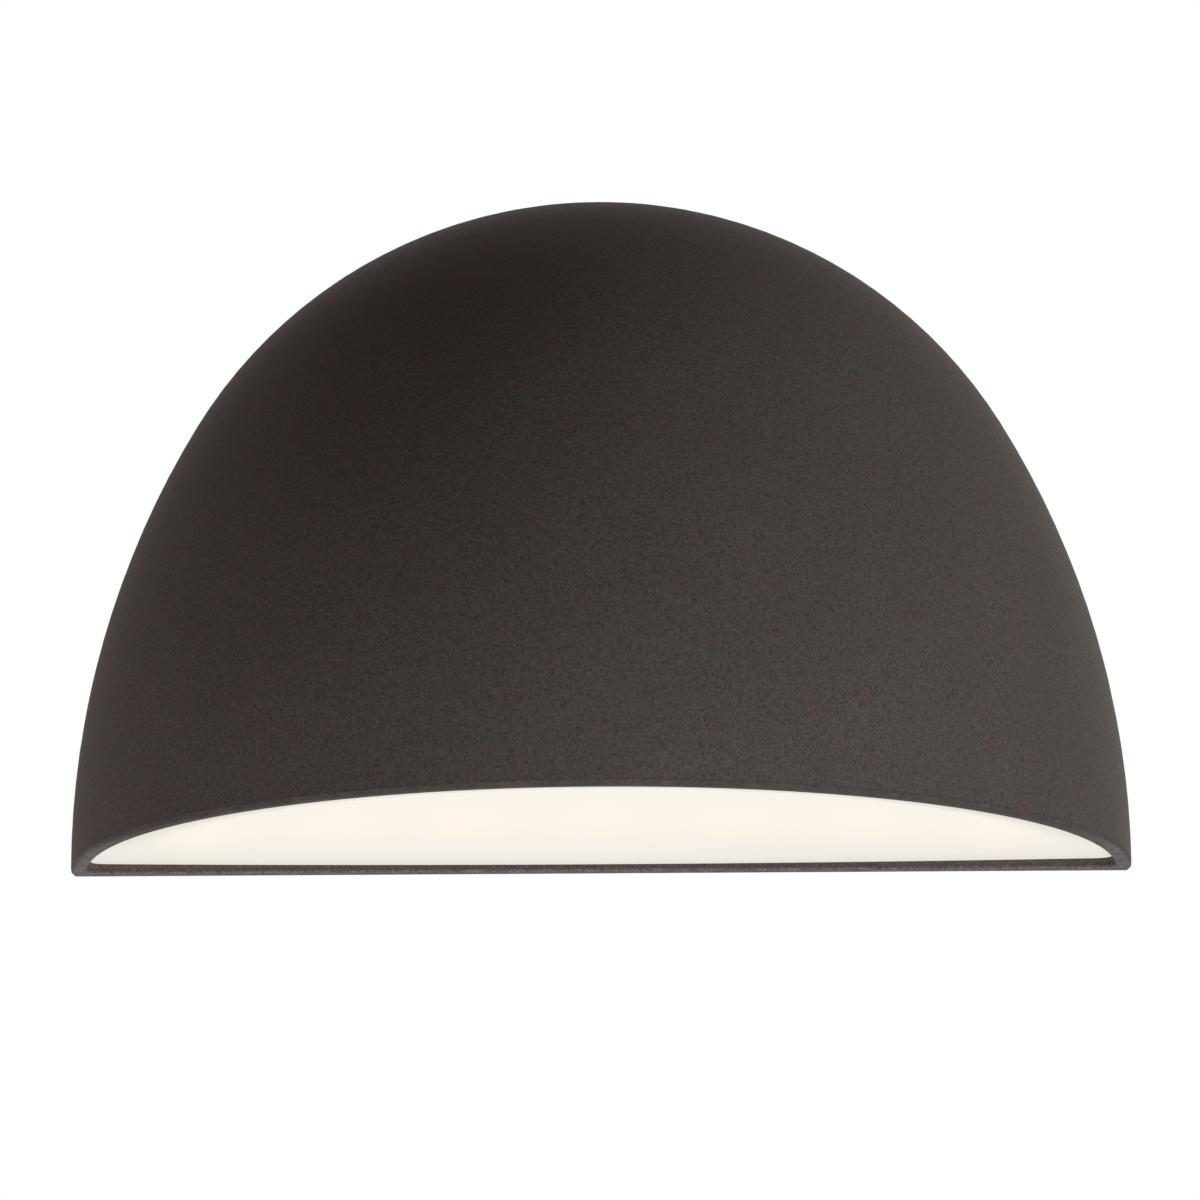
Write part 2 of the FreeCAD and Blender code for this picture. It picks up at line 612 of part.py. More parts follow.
def add_arch(sketch, inset):
    """Side arc, crown arc and side arc, set in from the rim, that stand on the gasket's foot line."""
    side_radius, crown_radius = f"({SIDE_RADIUS} - {inset})", f"({CROWN_RADIUS} - {inset})"
    side, side_x = number(side_radius), number(SIDE_CENTRE)
    joint = joint_angle()
    start = math.asin(number("Sizes.wall_gasket_foot_gap") / side)
    first = sketch.GeometryCount
    arcs = [
        (Vector(side_x, 0, 0), side, start, joint),
        (Vector(0, number(CROWN_CENTRE), 0), number(crown_radius), joint, math.pi - joint),
        (Vector(-side_x, 0, 0), side, math.pi - joint, math.pi - start),
    ]
    for centre, radius, low, high in arcs:
        circle = Part.Circle(centre, Z_AXIS, radius)
        sketch.addGeometry(Part.ArcOfCircle(circle, low, high), False)
    constrain(sketch, "Tangent", first, 2, first + 1, 1)
    constrain(sketch, "Tangent", first + 1, 2, first + 2, 1)
    constrain(sketch, "PointOnObject", first + 1, 3, -2)
    drive(sketch, "Radius", (first,), side_radius)
    drive(sketch, "DistanceX", (-1, 1, first, 3), SIDE_CENTRE)
    constrain(sketch, "PointOnObject", first, 3, -1)
    drive(sketch, "DistanceY", (-1, 1, first, 1), "Sizes.wall_gasket_foot_gap")
    drive(sketch, "Radius", (first + 2,), side_radius)
    drive(sketch, "DistanceX", (-1, 1, first + 2, 3), "-" + SIDE_CENTRE)
    drive(sketch, "DistanceY", (-1, 1, first + 2, 2), "Sizes.wall_gasket_foot_gap")
    drive(sketch, "Radius", (first + 1,), crown_radius)


# Lens
def make_lens():
    lens = half_round("lens_diffuser", LENS_RADIUS, LENS_REAR, "Sizes.lens_recess", "Sizes.lens_thickness")
    doc.recompute()
    corner = "Sizes.lens_corner_radius - Sizes.lens_gap"
    soften_upright_edges(lens, "lens_corners", corner, "Sizes.lens_thickness")


def make_lens_seal():
    """The bead of sealant that bonds the lens under the ledge."""
    thickness = "Sizes.lens_seal_thickness"
    seal = half_round("lens_seal", LENS_RADIUS, LENS_REAR, LENS_TOP, thickness)
    doc.recompute()
    soften_upright_edges(seal, "seal_corners", "Sizes.lens_corner_radius - Sizes.lens_gap", thickness)
    window = new_sketch(seal, "seal_window_outline", "XY_Plane")
    radius = f"({INNER_RADIUS} - Sizes.ledge_width)"
    r, back = number(radius), number("Sizes.wall + Sizes.ledge_width")
    lift = math.asin(back / r)
    circle = Part.Circle(Vector(0, 0, 0), Z_AXIS, r)
    window.addGeometry(Part.ArcOfCircle(circle, math.pi + lift, 2 * math.pi - lift), False)
    ends = [window.getPoint(0, 2), window.getPoint(0, 1)]
    window.addGeometry(Part.LineSegment(ends[0], ends[1]), False)
    constrain(window, "Coincident", 0, 3, -1, 1)
    constrain(window, "Coincident", 1, 1, 0, 2)
    constrain(window, "Coincident", 1, 2, 0, 1)
    constrain(window, "Horizontal", 1)
    drive(window, "Radius", (0,), radius)
    drive(window, "DistanceY", (-1, 1, 1, 1), "-Sizes.wall - Sizes.ledge_width")
    doc.recompute()
    pocket_through(seal, "seal_window", window)


# Light tray
def screw_spots():
    """Where screws stand on the tray: name, x and y."""
    spots = []
    for side, sign in (("left", "-"), ("right", "")):
        spots.append((f"front_{side}", sign + FRONT_BOSS_X, FRONT_BOSS_Y))
        spots.append((f"rear_{side}", sign + REAR_BOSS_X, REAR_BOSS_Y))
    return spots


def module_spots():
    """Screws of the driver's two ears and of the terminal's ear."""
    ear_x = f"({DRIVER_RIGHT} + Sizes.driver_ear_length / 2)"
    reach = "(Sizes.driver_depth / 2 - Sizes.driver_edge_radius - Sizes.driver_ear_width / 2)"
    terminal_ear = f"({TERMINAL_X} - Sizes.terminal_length / 2 - Sizes.terminal_ear_length / 2)"
    return [
        ("driver_right", ear_x, f"({DRIVER_Y} + {reach})"),
        ("driver_left", "-" + ear_x, f"({DRIVER_Y} - {reach})"),
        ("terminal", terminal_ear, TERMINAL_Y),
    ]


def board_spots():
    """Screws of the light board, in its end spaces and two middle ones between light emitters."""
    last = int(number("Sizes.led_count")) - 2
    middle = (last - 1) // 2
    spots = []
    for space in (0, middle, last - middle, last):
        x = f"({space - last / 2} * {LED_PITCH})"
        spots.append((f"board_{space}", x, led_arc_y(x)))
    return spots


def screw(name, x, y, seat, length, head_up):
    """A pan head screw that bears on its seat, with a six-sided socket."""
    if head_up:
        head_z = seat
        shank_z = f"({seat} - {length})"
        socket_z = f"({seat} + Sizes.screw_head_height - Sizes.screw_socket_depth)"
    else:
        head_z = f"({seat} - Sizes.screw_head_height)"
        shank_z = f"({seat} - Sizes.screw_socket_depth / 2)"
        socket_z = f"({head_z} - Sizes.overrun + Sizes.screw_socket_depth)"
        length = f"({length} + Sizes.screw_socket_depth / 2)"
    head = cylinder(name + "_head", x, y, head_z, "Sizes.screw_head_radius", "Sizes.screw_head_height")
    shank = cylinder(name + "_shank", x, y, shank_z, "Sizes.screw_radius", length)
    socket = hexagon(name + "_socket", x, y, socket_z, "Sizes.screw_socket_radius", "Sizes.overrun")
    return cut(name, fuse(name + "_blank", [head, shank]), [socket])


def make_tray():
    tray = half_round(
        "light_tray", TRAY_RADIUS, "Sizes.tray_rear_gap", TRAY_BOTTOM, "Sizes.tray_thickness"
    )
    holes = new_sketch(tray, "tray_holes", "XY_Plane")
    for _, x, y in screw_spots():
        add_circle(holes, x, y, "Sizes.screw_hole_radius")
    for _, x, y in module_spots() + board_spots():
        add_circle(holes, x, y, "Sizes.screw_radius + Sizes.fit_gap")
    add_circle(holes, LED_LEAD_X, DRIVER_Y, "Sizes.lead_bushing_hole_radius + Sizes.fit_gap")
    doc.recompute()
    pocket_through(tray, "tray_drilling", holes)


def make_screw_groups():
    module_seat = f"({TRAY_TOP} + Sizes.driver_ear_thickness)"
    group("tray_screws", [
        screw(f"tray_screw_{name}", x, y, TRAY_TOP, "Sizes.tray_screw_length", True)
        for name, x, y in screw_spots()
    ])
    group("module_screws", [
        screw(f"module_screw_{name}", x, y, module_seat, "Sizes.module_screw_length", True)
        for name, x, y in module_spots()
    ])
    group("led_board_screws", [
        screw(f"screw_{name}", x, y, BOARD_BOTTOM, "Sizes.board_screw_length", False)
        for name, x, y in board_spots()
    ])


# Light source
def curved_strip(name, bottom, thickness, holes):
    """A strip along the light source's arc, with square ends and round holes."""
    body = doc.addObject("PartDesign::Body", name)
    sketch = new_sketch(body, name + "_outline", "XY_Plane")
    radius = number("Sizes.led_arc_radius")
    half_width = number("Sizes.board_width / 2")
    centre = Vector(0, number(LED_CENTRE), 0)
    swing = math.asin(number(BOARD_HALF_LENGTH) / radius)
    down = -math.pi / 2
    for reach in (radius + half_width, radius - half_width):
        circle = Part.Circle(centre, Z_AXIS, reach)
        sketch.addGeometry(Part.ArcOfCircle(circle, down - swing, down + swing), False)
    for position in (1, 2):
        ends = [sketch.getPoint(arc, position) for arc in (0, 1)]
        line = sketch.addGeometry(Part.LineSegment(ends[0], ends[1]), False)
        constrain(sketch, "Coincident", line, 1, 0, position)
        constrain(sketch, "Coincident", line, 2, 1, position)
    constrain(sketch, "Coincident", 0, 3, 1, 3)
    constrain(sketch, "PointOnObject", 0, 3, -2)
    drive(sketch, "DistanceY", (-1, 1, 0, 3), LED_CENTRE)
    drive(sketch, "Radius", (0,), "Sizes.led_arc_radius + Sizes.board_width / 2")
    drive(sketch, "Radius", (1,), "Sizes.led_arc_radius - Sizes.board_width / 2")
    outer_reach = f"({BOARD_HALF_LENGTH} * (1 + Sizes.board_width / 2 / Sizes.led_arc_radius))"
    inner_reach = f"({BOARD_HALF_LENGTH} * (1 - Sizes.board_width / 2 / Sizes.led_arc_radius))"
    for arc, reach in ((0, outer_reach), (1, inner_reach)):
        drive(sketch, "DistanceX", (-1, 1, arc, 2), reach)
        drive(sketch, "DistanceX", (-1, 1, arc, 1), "-" + reach)
    for x, y, hole_radius in holes:
        add_circle(sketch, x, y, hole_radius)
    pad(body, name + "_sheet", sketch, thickness)
    place_in_housing(body, "0", "0", bottom)


def make_light_source():
    screw_holes = [(x, y, "Sizes.screw_hole_radius") for _, x, y in board_spots()]
    lead_window = [(LED_LEAD_X, DRIVER_Y, "Sizes.lead_bushing_bore_radius")]
    curved_strip("led_board", BOARD_BOTTOM, "Sizes.board_thickness", screw_holes)
    curved_strip("thermal_pad", BOARD_TOP, "Sizes.pad_thickness", screw_holes + lead_window)
    emitters = []
    count = int(number("Sizes.led_count"))
    for index in range(count):
        x = f"({index - (count - 1) / 2} * {LED_PITCH})"
        emitters.append(box(
            f"led_{index + 1}",
            f"{x} - Sizes.led_size / 2",
            f"{led_arc_y(x)} - Sizes.led_size / 2",
            f"{BOARD_BOTTOM} - Sizes.led_height",
            "Sizes.led_size",
            "Sizes.led_size",
            "Sizes.led_height",
        ))
    group("leds", emitters)


def half_frustum(name, inset):
    """The light chamber's room: half a cone that narrows upward, set in from the shell."""
    height = f"({TRAY_BOTTOM} - Sizes.boss_height - Sizes.seat_gap - {LEDGE_TOP})"
    cone = doc.addObject("Part::Cone", name + "_cone")
    bind(cone, {
        "Radius1": f"{INNER_RADIUS} - {inset}",
        "Radius2": f"{INNER_RADIUS} - {inset} - Sizes.reflector_lean",
        "Height": height,
    })
    place_in_housing(cone, "0", "0", LEDGE_TOP)
    face = f"(-Sizes.wall - {inset})"
    reach = f"({INNER_RADIUS} - {face})"
    rear = box(name + "_rear", f"-{INNER_RADIUS}", face, LEDGE_TOP, f"2 * {INNER_RADIUS}", reach, height)
    return cut(name, cone, [rear])


def make_reflector():
    """A thin white skirt that stands on the ledge and ends under the tray bosses."""
    outside = half_frustum("reflector_outside", "Sizes.reflector_foot_gap")
    inside = half_frustum("reflector_inside", "(Sizes.reflector_foot_gap + Sizes.reflector_thickness)")
    cut("reflector", outside, [inside])


# Driver and supply terminal
def make_driver():
    """A driver in a moulded case: body with two screw ears, and a snap-on cover."""
    body = doc.addObject("PartDesign::Body", "driver_case")
    sketch = new_sketch(body, "driver_outline", "XY_Plane")
    half_depth = "(Sizes.driver_depth / 2)"
    add_rectangle(sketch, "-" + DRIVER_RIGHT, DRIVER_RIGHT, "-" + half_depth, half_depth)
    pad(body, "driver_block", sketch, "Sizes.driver_height")
    doc.recompute()
    soften_upright_edges(body, "driver_corners", "Sizes.driver_edge_radius", "Sizes.driver_height")
    ears = new_sketch(body, "driver_ears", "XY_Plane")
    right_end = f"({DRIVER_RIGHT} + Sizes.driver_ear_length)"
    inside = f"({DRIVER_RIGHT} - Sizes.driver_ear_thickness)"
    ear_far = f"({half_depth} - Sizes.driver_edge_radius)"
    ear_near = f"({ear_far} - Sizes.driver_ear_width)"
    add_rectangle(ears, inside, right_end, ear_near, ear_far)
    add_rectangle(ears, "-" + right_end, "-" + inside, "-" + ear_far, "-" + ear_near)
    pad(body, "driver_ear_plates", ears, "Sizes.driver_ear_thickness")
    doc.recompute()
    holes = new_sketch(body, "driver_ear_holes", "XY_Plane")
    ear_x = f"({DRIVER_RIGHT} + Sizes.driver_ear_length / 2)"
    ear_y = f"({ear_far} - Sizes.driver_ear_width / 2)"
    add_circle(holes, ear_x, ear_y, "Sizes.screw_hole_radius")
    add_circle(holes, "-" + ear_x, "-" + ear_y, "Sizes.screw_hole_radius")
    pocket_through(body, "driver_ear_drilling", holes)
    place_in_housing(body, "0", DRIVER_Y, TRAY_TOP)
    cover = doc.addObject("PartDesign::Body", "driver_cover")
    outline = new_sketch(cover, "driver_cover_outline", "XY_Plane")
    add_rectangle(outline, "-" + DRIVER_RIGHT, DRIVER_RIGHT, "-" + half_depth, half_depth)
    pad(cover, "driver_cover_plate", outline, "Sizes.driver_cover_thickness")
    doc.recompute()
    thickness = "Sizes.driver_cover_thickness"
    soften_upright_edges(cover, "driver_cover_corners", "Sizes.driver_edge_radius", thickness)
    place_in_housing(cover, "0", DRIVER_Y, f"{TRAY_TOP} + Sizes.driver_height")


def soften_upright_edges(body, name, radius, height):
    """Rounds the upright edges that run at least half a height."""
    base = body.Tip
    least = number(height) / 2
    names = [
        f"Edge{index}"
        for index, edge in enumerate(base.Shape.Edges, start=1)
        if edge.Curve.TypeId == "Part::GeomLine" and edge.BoundBox.ZLength > least
    ]
    fillet = body.newObject("PartDesign::Fillet", name)
    fillet.Base = (base, names)
    bind(fillet, {"Radius": radius})


def make_terminal():
    """A three-pole block: supply entries face the wall, screw wells face up."""
    body = doc.addObject("PartDesign::Body", "supply_terminal")
    sketch = new_sketch(body, "terminal_outline", "XY_Plane")
    half_length = "(Sizes.terminal_length / 2)"
    half_depth = "(Sizes.terminal_depth / 2)"
    add_rectangle(sketch, "-" + half_length, half_length, "-" + half_depth, half_depth)
    pad(body, "terminal_block", sketch, "Sizes.terminal_height")
    ear = new_sketch(body, "terminal_ear", "XY_Plane")
    half_ear = "(Sizes.driver_ear_width / 2)"
    ear_end = f"(-{half_length} - Sizes.terminal_ear_length)"
    add_rectangle(ear, ear_end, f"-{half_length} + Sizes.driver_ear_thickness", "-" + half_ear, half_ear)
    pad(body, "terminal_ear_plate", ear, "Sizes.driver_ear_thickness")
    doc.recompute()
    drilling = new_sketch(body, "terminal_ear_hole", "XY_Plane")
    add_circle(drilling, f"-{half_length} - Sizes.terminal_ear_length / 2", "0", "Sizes.screw_hole_radius")
    pocket_through(body, "terminal_ear_drilling", drilling)
    wells = new_sketch(body, "terminal_wells", "XY_Plane")
    bind(wells, {"AttachmentOffset.Base.z": "Sizes.terminal_height"})
    entries = new_sketch(body, "terminal_entries", "XZ_Plane")
    bind(entries, {"AttachmentOffset.Base.z": "-" + half_depth})
    for pole in (-1, 0, 1):
        x = f"({pole} * Sizes.terminal_pole_pitch)"
        add_circle(wells, x, "0", "Sizes.terminal_screw_well_radius")
        add_circle(entries, x, "Sizes.terminal_entry_height", "Sizes.terminal_entry_radius")
    doc.recompute()
    well = body.newObject("PartDesign::Pocket", "terminal_screw_wells")
    well.Profile = wells
    bind(well, {"Length": "Sizes.terminal_well_depth"})
    doc.recompute()
    entry = body.newObject("PartDesign::Pocket", "terminal_wire_entries")
    entry.Profile = entries
    entry.Reversed = True
    bind(entry, {"Length": "Sizes.terminal_entry_depth"})
    place_in_housing(body, TERMINAL_X, TERMINAL_Y, TRAY_TOP)


# Leads
def bend(name, x, y, z, turn):
    """A quarter ring that joins two straight runs of a lead."""
    ring = doc.addObject("Part::Torus", name)
    bind(ring, {"Radius1": "Sizes.lead_bend_radius", "Radius2": "Sizes.lead_radius"})
    ring.Angle3 = 90
    ring.Placement.Rotation = turn
    place_in_housing(ring, x, y, z)
    return ring


def make_led_lead(name, y):
    """From the driver's end, level and then down through the tray to the light board."""
    height = f"({TRAY_TOP} + Sizes.led_lead_rise)"
    turn_x, turn_z = f"({LED_LEAD_X} - Sizes.lead_bend_radius)", f"({height} - Sizes.lead_bend_radius)"
    level = f"{turn_x} - {DRIVER_RIGHT}"
    drop = f"{turn_z} - {BOARD_TOP}"
    fuse(name, [
        cylinder(name + "_level", DRIVER_RIGHT, y, height, "Sizes.lead_radius", level, ALONG_X),
        bend(name + "_bend", turn_x, y, turn_z, ALONG_MINUS_Y),
        cylinder(name + "_drop", LED_LEAD_X, y, BOARD_TOP, "Sizes.lead_radius", drop),
    ])
    return f"{level} + {drop}"


def make_input_lead(name, x, y):
    """From the driver's other end, level and then back to the terminal."""
    height = f"({TRAY_TOP} + Sizes.lead_height)"
    turn_x, turn_y = f"({x} + Sizes.lead_bend_radius)", f"({y} + Sizes.lead_bend_radius)"
    level = f"-{DRIVER_RIGHT} - {turn_x}"
    back = f"{TERMINAL_FRONT} - {turn_y}"
    fuse(name, [
        cylinder(name + "_level", "-" + DRIVER_RIGHT, y, height, "Sizes.lead_radius", level, ALONG_MINUS_X),
        bend(name + "_bend", turn_x, turn_y, height, HALF_TURN),
        cylinder(name + "_back", x, turn_y, height, "Sizes.lead_radius", back, ALONG_Y),
    ])
    return f"{level} + {back}"


def make_leads():
    front, rear = f"({DRIVER_Y} - Sizes.lead_pitch / 2)", f"({DRIVER_Y} + Sizes.lead_pitch / 2)"
    near, far = (f"({TERMINAL_X} {way} Sizes.terminal_pole_pitch / 2)" for way in "+-")
    runs = {
        "led_lead_positive": make_led_lead("led_lead_positive", front),
        "led_lead_negative": make_led_lead("led_lead_negative", rear),
        "input_lead_live": make_input_lead("input_lead_live", near, rear),
        "input_lead_neutral": make_input_lead("input_lead_neutral", far, front),
    }
    doc.recompute()
    quarter = number("Sizes.lead_bend_radius") * math.pi / 2
    for name, run in runs.items():
        expected = math.pi * number("Sizes.lead_radius") ** 2 * (number(run) + quarter)
        print(f"{name}: volume {doc.getObject(name).Shape.Volume:.2f} against {expected:.2f}")


def bushing(name, flange_radius, flange_height, barrel_radius, barrel_length, bore_radius):
    """A snap-in bush: a flange on one face of a sheet and a barrel through it."""
    body = doc.addObject("PartDesign::Body", name)
    sketch = new_sketch(body, name + "_profile", "XZ_Plane")
    add_polyline(sketch, [
        (bore_radius, "-" + barrel_length),
        (barrel_radius, "-" + barrel_length),
        (barrel_radius, "0"),
        (flange_radius, "0"),
        (flange_radius, flange_height),
        (bore_radius, flange_height),
    ])
    revolve(body, name + "_turned", sketch)
    return body


def make_bushings():
    wire = bushing(
        "wire_bushing", "Sizes.bushing_flange_radius", "Sizes.bushing_flange_height",
        "Sizes.wire_hole_radius", "Sizes.plate_thickness", "Sizes.bushing_bore_radius",
    )
    wire.Placement.Rotation = ALONG_MINUS_Y
    place(wire, "0", "-Sizes.plate_thickness", "0")
    through = bushing(
        "lead_bushing", "Sizes.lead_bushing_flange_radius", "Sizes.lead_bushing_flange_height",
        "Sizes.lead_bushing_hole_radius", "Sizes.tray_thickness", "Sizes.lead_bushing_bore_radius",
    )
    place_in_housing(through, LED_LEAD_X, DRIVER_Y, TRAY_TOP)


# Mounting plate
def make_mounting_plate():
    """Folded steel: a plate over the junction box, two wings with flanges and a top shelf."""
    body = doc.addObject("PartDesign::Body", "mounting_plate")
    outline = new_sketch(body, "plate_outline", "XZ_Plane")
    half = "(Sizes.plate_width / 2)"
    add_rectangle(outline, "-" + half, half, WING_BOTTOM, SHELF_TOP)
    pad(body, "plate_sheet", outline, "Sizes.plate_thickness")
    doc.recompute()
    sheet_pad = body.Tip
    top = [
        f"Edge{index}"
        for index, edge in enumerate(sheet_pad.Shape.Edges, start=1)
        if edge.BoundBox.YLength > number("Sizes.plate_thickness") / 2
        and edge.CenterOfMass.z > number(WING_TOP)
    ]
    corners = body.newObject("PartDesign::Fillet", "plate_corners")
    corners.Base = (sheet_pad, top)
    bind(corners, {"Radius": "Sizes.plate_corner_radius"})
    wings = new_sketch(body, "plate_wings", "XZ_Plane")
    add_rectangle(wings, "-" + FLANGE_X, FLANGE_X, WING_BOTTOM, WING_TOP)
    pad(body, "plate_wing_bar", wings, "Sizes.plate_thickness")
    flanges = new_sketch(body, "plate_flanges", "XZ_Plane")
    inside = f"({FLANGE_X} - Sizes.plate_thickness)"
    add_rectangle(flanges, inside, FLANGE_X, WING_BOTTOM, WING_TOP)
    add_rectangle(flanges, "-" + FLANGE_X, "-" + inside, WING_BOTTOM, WING_TOP)
    half_shelf = "(Sizes.shelf_width / 2)"
    add_rectangle(flanges, "-" + half_shelf, half_shelf, f"{SHELF_TOP} - Sizes.plate_thickness", SHELF_TOP)
    pad(body, "plate_flange_walls", flanges, "Sizes.flange_depth")
    doc.recompute()
    make_plate_bends(body)
    cuts = new_sketch(body, "plate_cut_outs", "XZ_Plane")
    ground_hole = "Sizes.ground_screw_radius + Sizes.fit_gap"
    add_circle(cuts, "0", "0", "Sizes.wire_hole_radius + Sizes.fit_gap")
    add_circle(cuts, "-Sizes.ground_screw_offset", "-Sizes.set_screw_drop", ground_hole)
    add_slot(cuts, "-Sizes.slot_spacing / 2")
    add_slot(cuts, "Sizes.slot_spacing / 2")
    pocket_through(body, "plate_openings", cuts)


def make_plate_bends(body):
    """Rounds the outside of the fold where each flange leaves its wing."""
    base = body.Tip
    near = number("Sizes.seat_gap")
    names = []
    for index, edge in enumerate(base.Shape.Edges, start=1):
        middle = edge.CenterOfMass
        along_flange = edge.BoundBox.ZLength > number("Sizes.wing_height") / 2
        at_flange = abs(abs(middle.x) - number(FLANGE_X)) < near
        if along_flange and at_flange and abs(middle.y) < near:
            names.append(f"Edge{index}")
    fillet = body.newObject("PartDesign::Fillet", "plate_bends")
    fillet.Base = (base, names)
    bind(fillet, {"Radius": "Sizes.flange_bend_radius"})


def add_slot(sketch, x):
    """A level slot with round ends, centred on the junction box's height."""
    radius = number("Sizes.slot_radius")
    half_run = number("Sizes.slot_length / 2") - radius
    middle = number(x)
    first = sketch.GeometryCount
    right = math.pi / 2
    for way in (1, -1):
        centre = Vector(middle + way * half_run, 0, 0)
        facing = 0 if way == 1 else math.pi
        arc = Part.ArcOfCircle(Part.Circle(centre, Z_AXIS, radius), facing - right, facing + right)
        sketch.addGeometry(arc, False)
    ends = [sketch.getPoint(first, 2), sketch.getPoint(first + 1, 1)]
    sketch.addGeometry(Part.LineSegment(ends[0], ends[1]), False)
    ends = [sketch.getPoint(first + 1, 2), sketch.getPoint(first, 1)]
    sketch.addGeometry(Part.LineSegment(ends[0], ends[1]), False)
    constrain(sketch, "Tangent", first, 2, first + 2, 1)
    constrain(sketch, "Tangent", first + 2, 2, first + 1, 1)
    constrain(sketch, "Tangent", first + 1, 2, first + 3, 1)
    constrain(sketch, "Tangent", first + 3, 2, first, 1)
    constrain(sketch, "PointOnObject", first, 3, -1)
    constrain(sketch, "PointOnObject", first + 1, 3, -1)
    drive(sketch, "Radius", (first,), "Sizes.slot_radius")
    drive(sketch, "DistanceX", (-1, 1, first, 3), f"{x} + Sizes.slot_length / 2 - Sizes.slot_radius")
    drive(sketch, "DistanceX", (-1, 1, first + 1, 3), f"{x} - Sizes.slot_length / 2 + Sizes.slot_radius")


def make_ground_screw():
    """A hexagon headed screw for the earth wire, in the middle of the wings' height."""
    x, z = "-Sizes.ground_screw_offset", "-Sizes.set_screw_drop"
    front = "-Sizes.plate_thickness"
    head_radius = "Sizes.ground_screw_head_across / sqrt(3)"
    head_height = "Sizes.ground_screw_head_height"
    start = f"{front} + Sizes.ground_screw_reach"
    reach = f"Sizes.ground_screw_reach + {head_height} / 2"
    radius = "Sizes.ground_screw_radius"
    fuse("plate_ground_screw", [
        hexagon("ground_screw_head", x, front, z, head_radius, head_height, ALONG_MINUS_Y, place),
        cylinder("ground_screw_shank", x, start, z, radius, reach, ALONG_MINUS_Y, place),
    ])


def make_set_screws():
    """Two socket set screws that clamp the housing on the plate's flanges."""
    tip = f"({FLANGE_X} + Sizes.seat_gap)"
    socket_start = f"({tip} + Sizes.set_screw_length - Sizes.set_screw_socket_depth)"
    socket_length = "Sizes.set_screw_socket_depth + Sizes.overrun"
    screws = []
    for side, sign, turn in (("right", "", ALONG_X), ("left", "-", ALONG_MINUS_X)):
        shank = cylinder(
            f"set_screw_shank_{side}", sign + tip, SET_SCREW_Y, SET_SCREW_Z,
            "Sizes.set_screw_radius", "Sizes.set_screw_length", turn,
        )
        socket = hexagon(
            f"set_screw_socket_{side}", sign + socket_start, SET_SCREW_Y, SET_SCREW_Z,
            "Sizes.set_screw_socket_radius", socket_length, turn,
        )
        screws.append(cut(f"set_screw_{side}", shank, [socket]))
    group("set_screws", screws)


# Build
NODES = [
    "dome_housing", "wall_gasket", "lens_diffuser", "lens_seal", "light_tray", "tray_screws",
    "reflector", "led_board", "thermal_pad", "leds", "led_board_screws", "driver_case",
    "driver_cover", "supply_terminal", "module_screws", "led_lead_positive",
    "led_lead_negative", "input_lead_live", "input_lead_neutral", "lead_bushing",
    "set_screws", "mounting_plate", "wire_bushing", "plate_ground_screw",
]

make_dome_housing()
make_wall_gasket()
make_lens()
make_lens_seal()
make_tray()
make_screw_groups()
make_light_source()
make_reflector()
make_driver()
make_terminal()
make_leads()
make_bushings()
make_mounting_plate()
make_ground_screw()
make_set_screws()
doc.recompute()

for thing in doc.Objects:
    if "Invalid" in thing.State or "Error" in thing.State:
        raise RuntimeError(f"{thing.Label} failed: {thing.State}")

os.makedirs("parts", exist_ok=True)
for node in NODES:
    shape = doc.getObject(node).Shape
    if shape.isNull() or not shape.isValid() or not shape.Solids:
        raise RuntimeError(f"{node} has no valid shape")
    bounds = shape.BoundBox
    print(
        f"{node}: {len(shape.Solids)} solids, {shape.Volume:.0f} mm3, "
        f"x {bounds.XMin:.2f} {bounds.XMax:.2f}, y {bounds.YMin:.2f} {bounds.YMax:.2f}, "
        f"z {bounds.ZMin:.2f} {bounds.ZMax:.2f}"
    )
    shape.exportStep(f"parts/{node}.step")
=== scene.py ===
import bpy
import math
from mathutils import Matrix, Vector


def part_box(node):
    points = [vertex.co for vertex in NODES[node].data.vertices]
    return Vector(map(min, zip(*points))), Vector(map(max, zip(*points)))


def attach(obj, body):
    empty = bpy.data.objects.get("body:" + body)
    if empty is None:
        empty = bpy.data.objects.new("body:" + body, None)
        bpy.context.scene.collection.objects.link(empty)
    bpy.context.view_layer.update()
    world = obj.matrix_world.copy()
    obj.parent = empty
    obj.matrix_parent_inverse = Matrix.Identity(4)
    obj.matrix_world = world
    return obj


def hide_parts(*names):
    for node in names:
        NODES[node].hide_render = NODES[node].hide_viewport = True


# Outdoor wall light: looks, light and camera for the half-dome downlight.
# Metres. The wall is the plane y = 0, the front faces -Y and +Z is up.

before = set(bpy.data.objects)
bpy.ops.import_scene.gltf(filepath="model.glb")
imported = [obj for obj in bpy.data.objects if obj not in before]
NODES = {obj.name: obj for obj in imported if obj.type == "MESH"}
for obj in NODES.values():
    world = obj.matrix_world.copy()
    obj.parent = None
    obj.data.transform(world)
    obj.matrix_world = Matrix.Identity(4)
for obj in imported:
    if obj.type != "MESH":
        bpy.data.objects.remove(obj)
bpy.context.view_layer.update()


def srgb(red, green, blue):
    """A colour measured on a screen, 0 to 255, as the scene-linear colour that renders it."""
    def linear(value):
        share = value / 255
        return share / 12.92 if share <= 0.04045 else ((share + 0.055) / 1.055) ** 2.4
    return (linear(red), linear(green), linear(blue), 1.0)


# Photograph: its size in pixels, and how its camera stood and aimed
PHOTO_SIZE = 1200
CAMERA_DISTANCE = 3.0
CAMERA_FALL = math.radians(10.79)
CAMERA_YAW = math.radians(0.17)
CAMERA_ROLL = math.radians(0.32)
FOCAL_PIXELS = 12668
TARGET_PIXEL = (599.1, 547.5)
TARGET_FORWARD, TARGET_RISE = 0.05, 0.07
SENSOR_WIDTH = 36

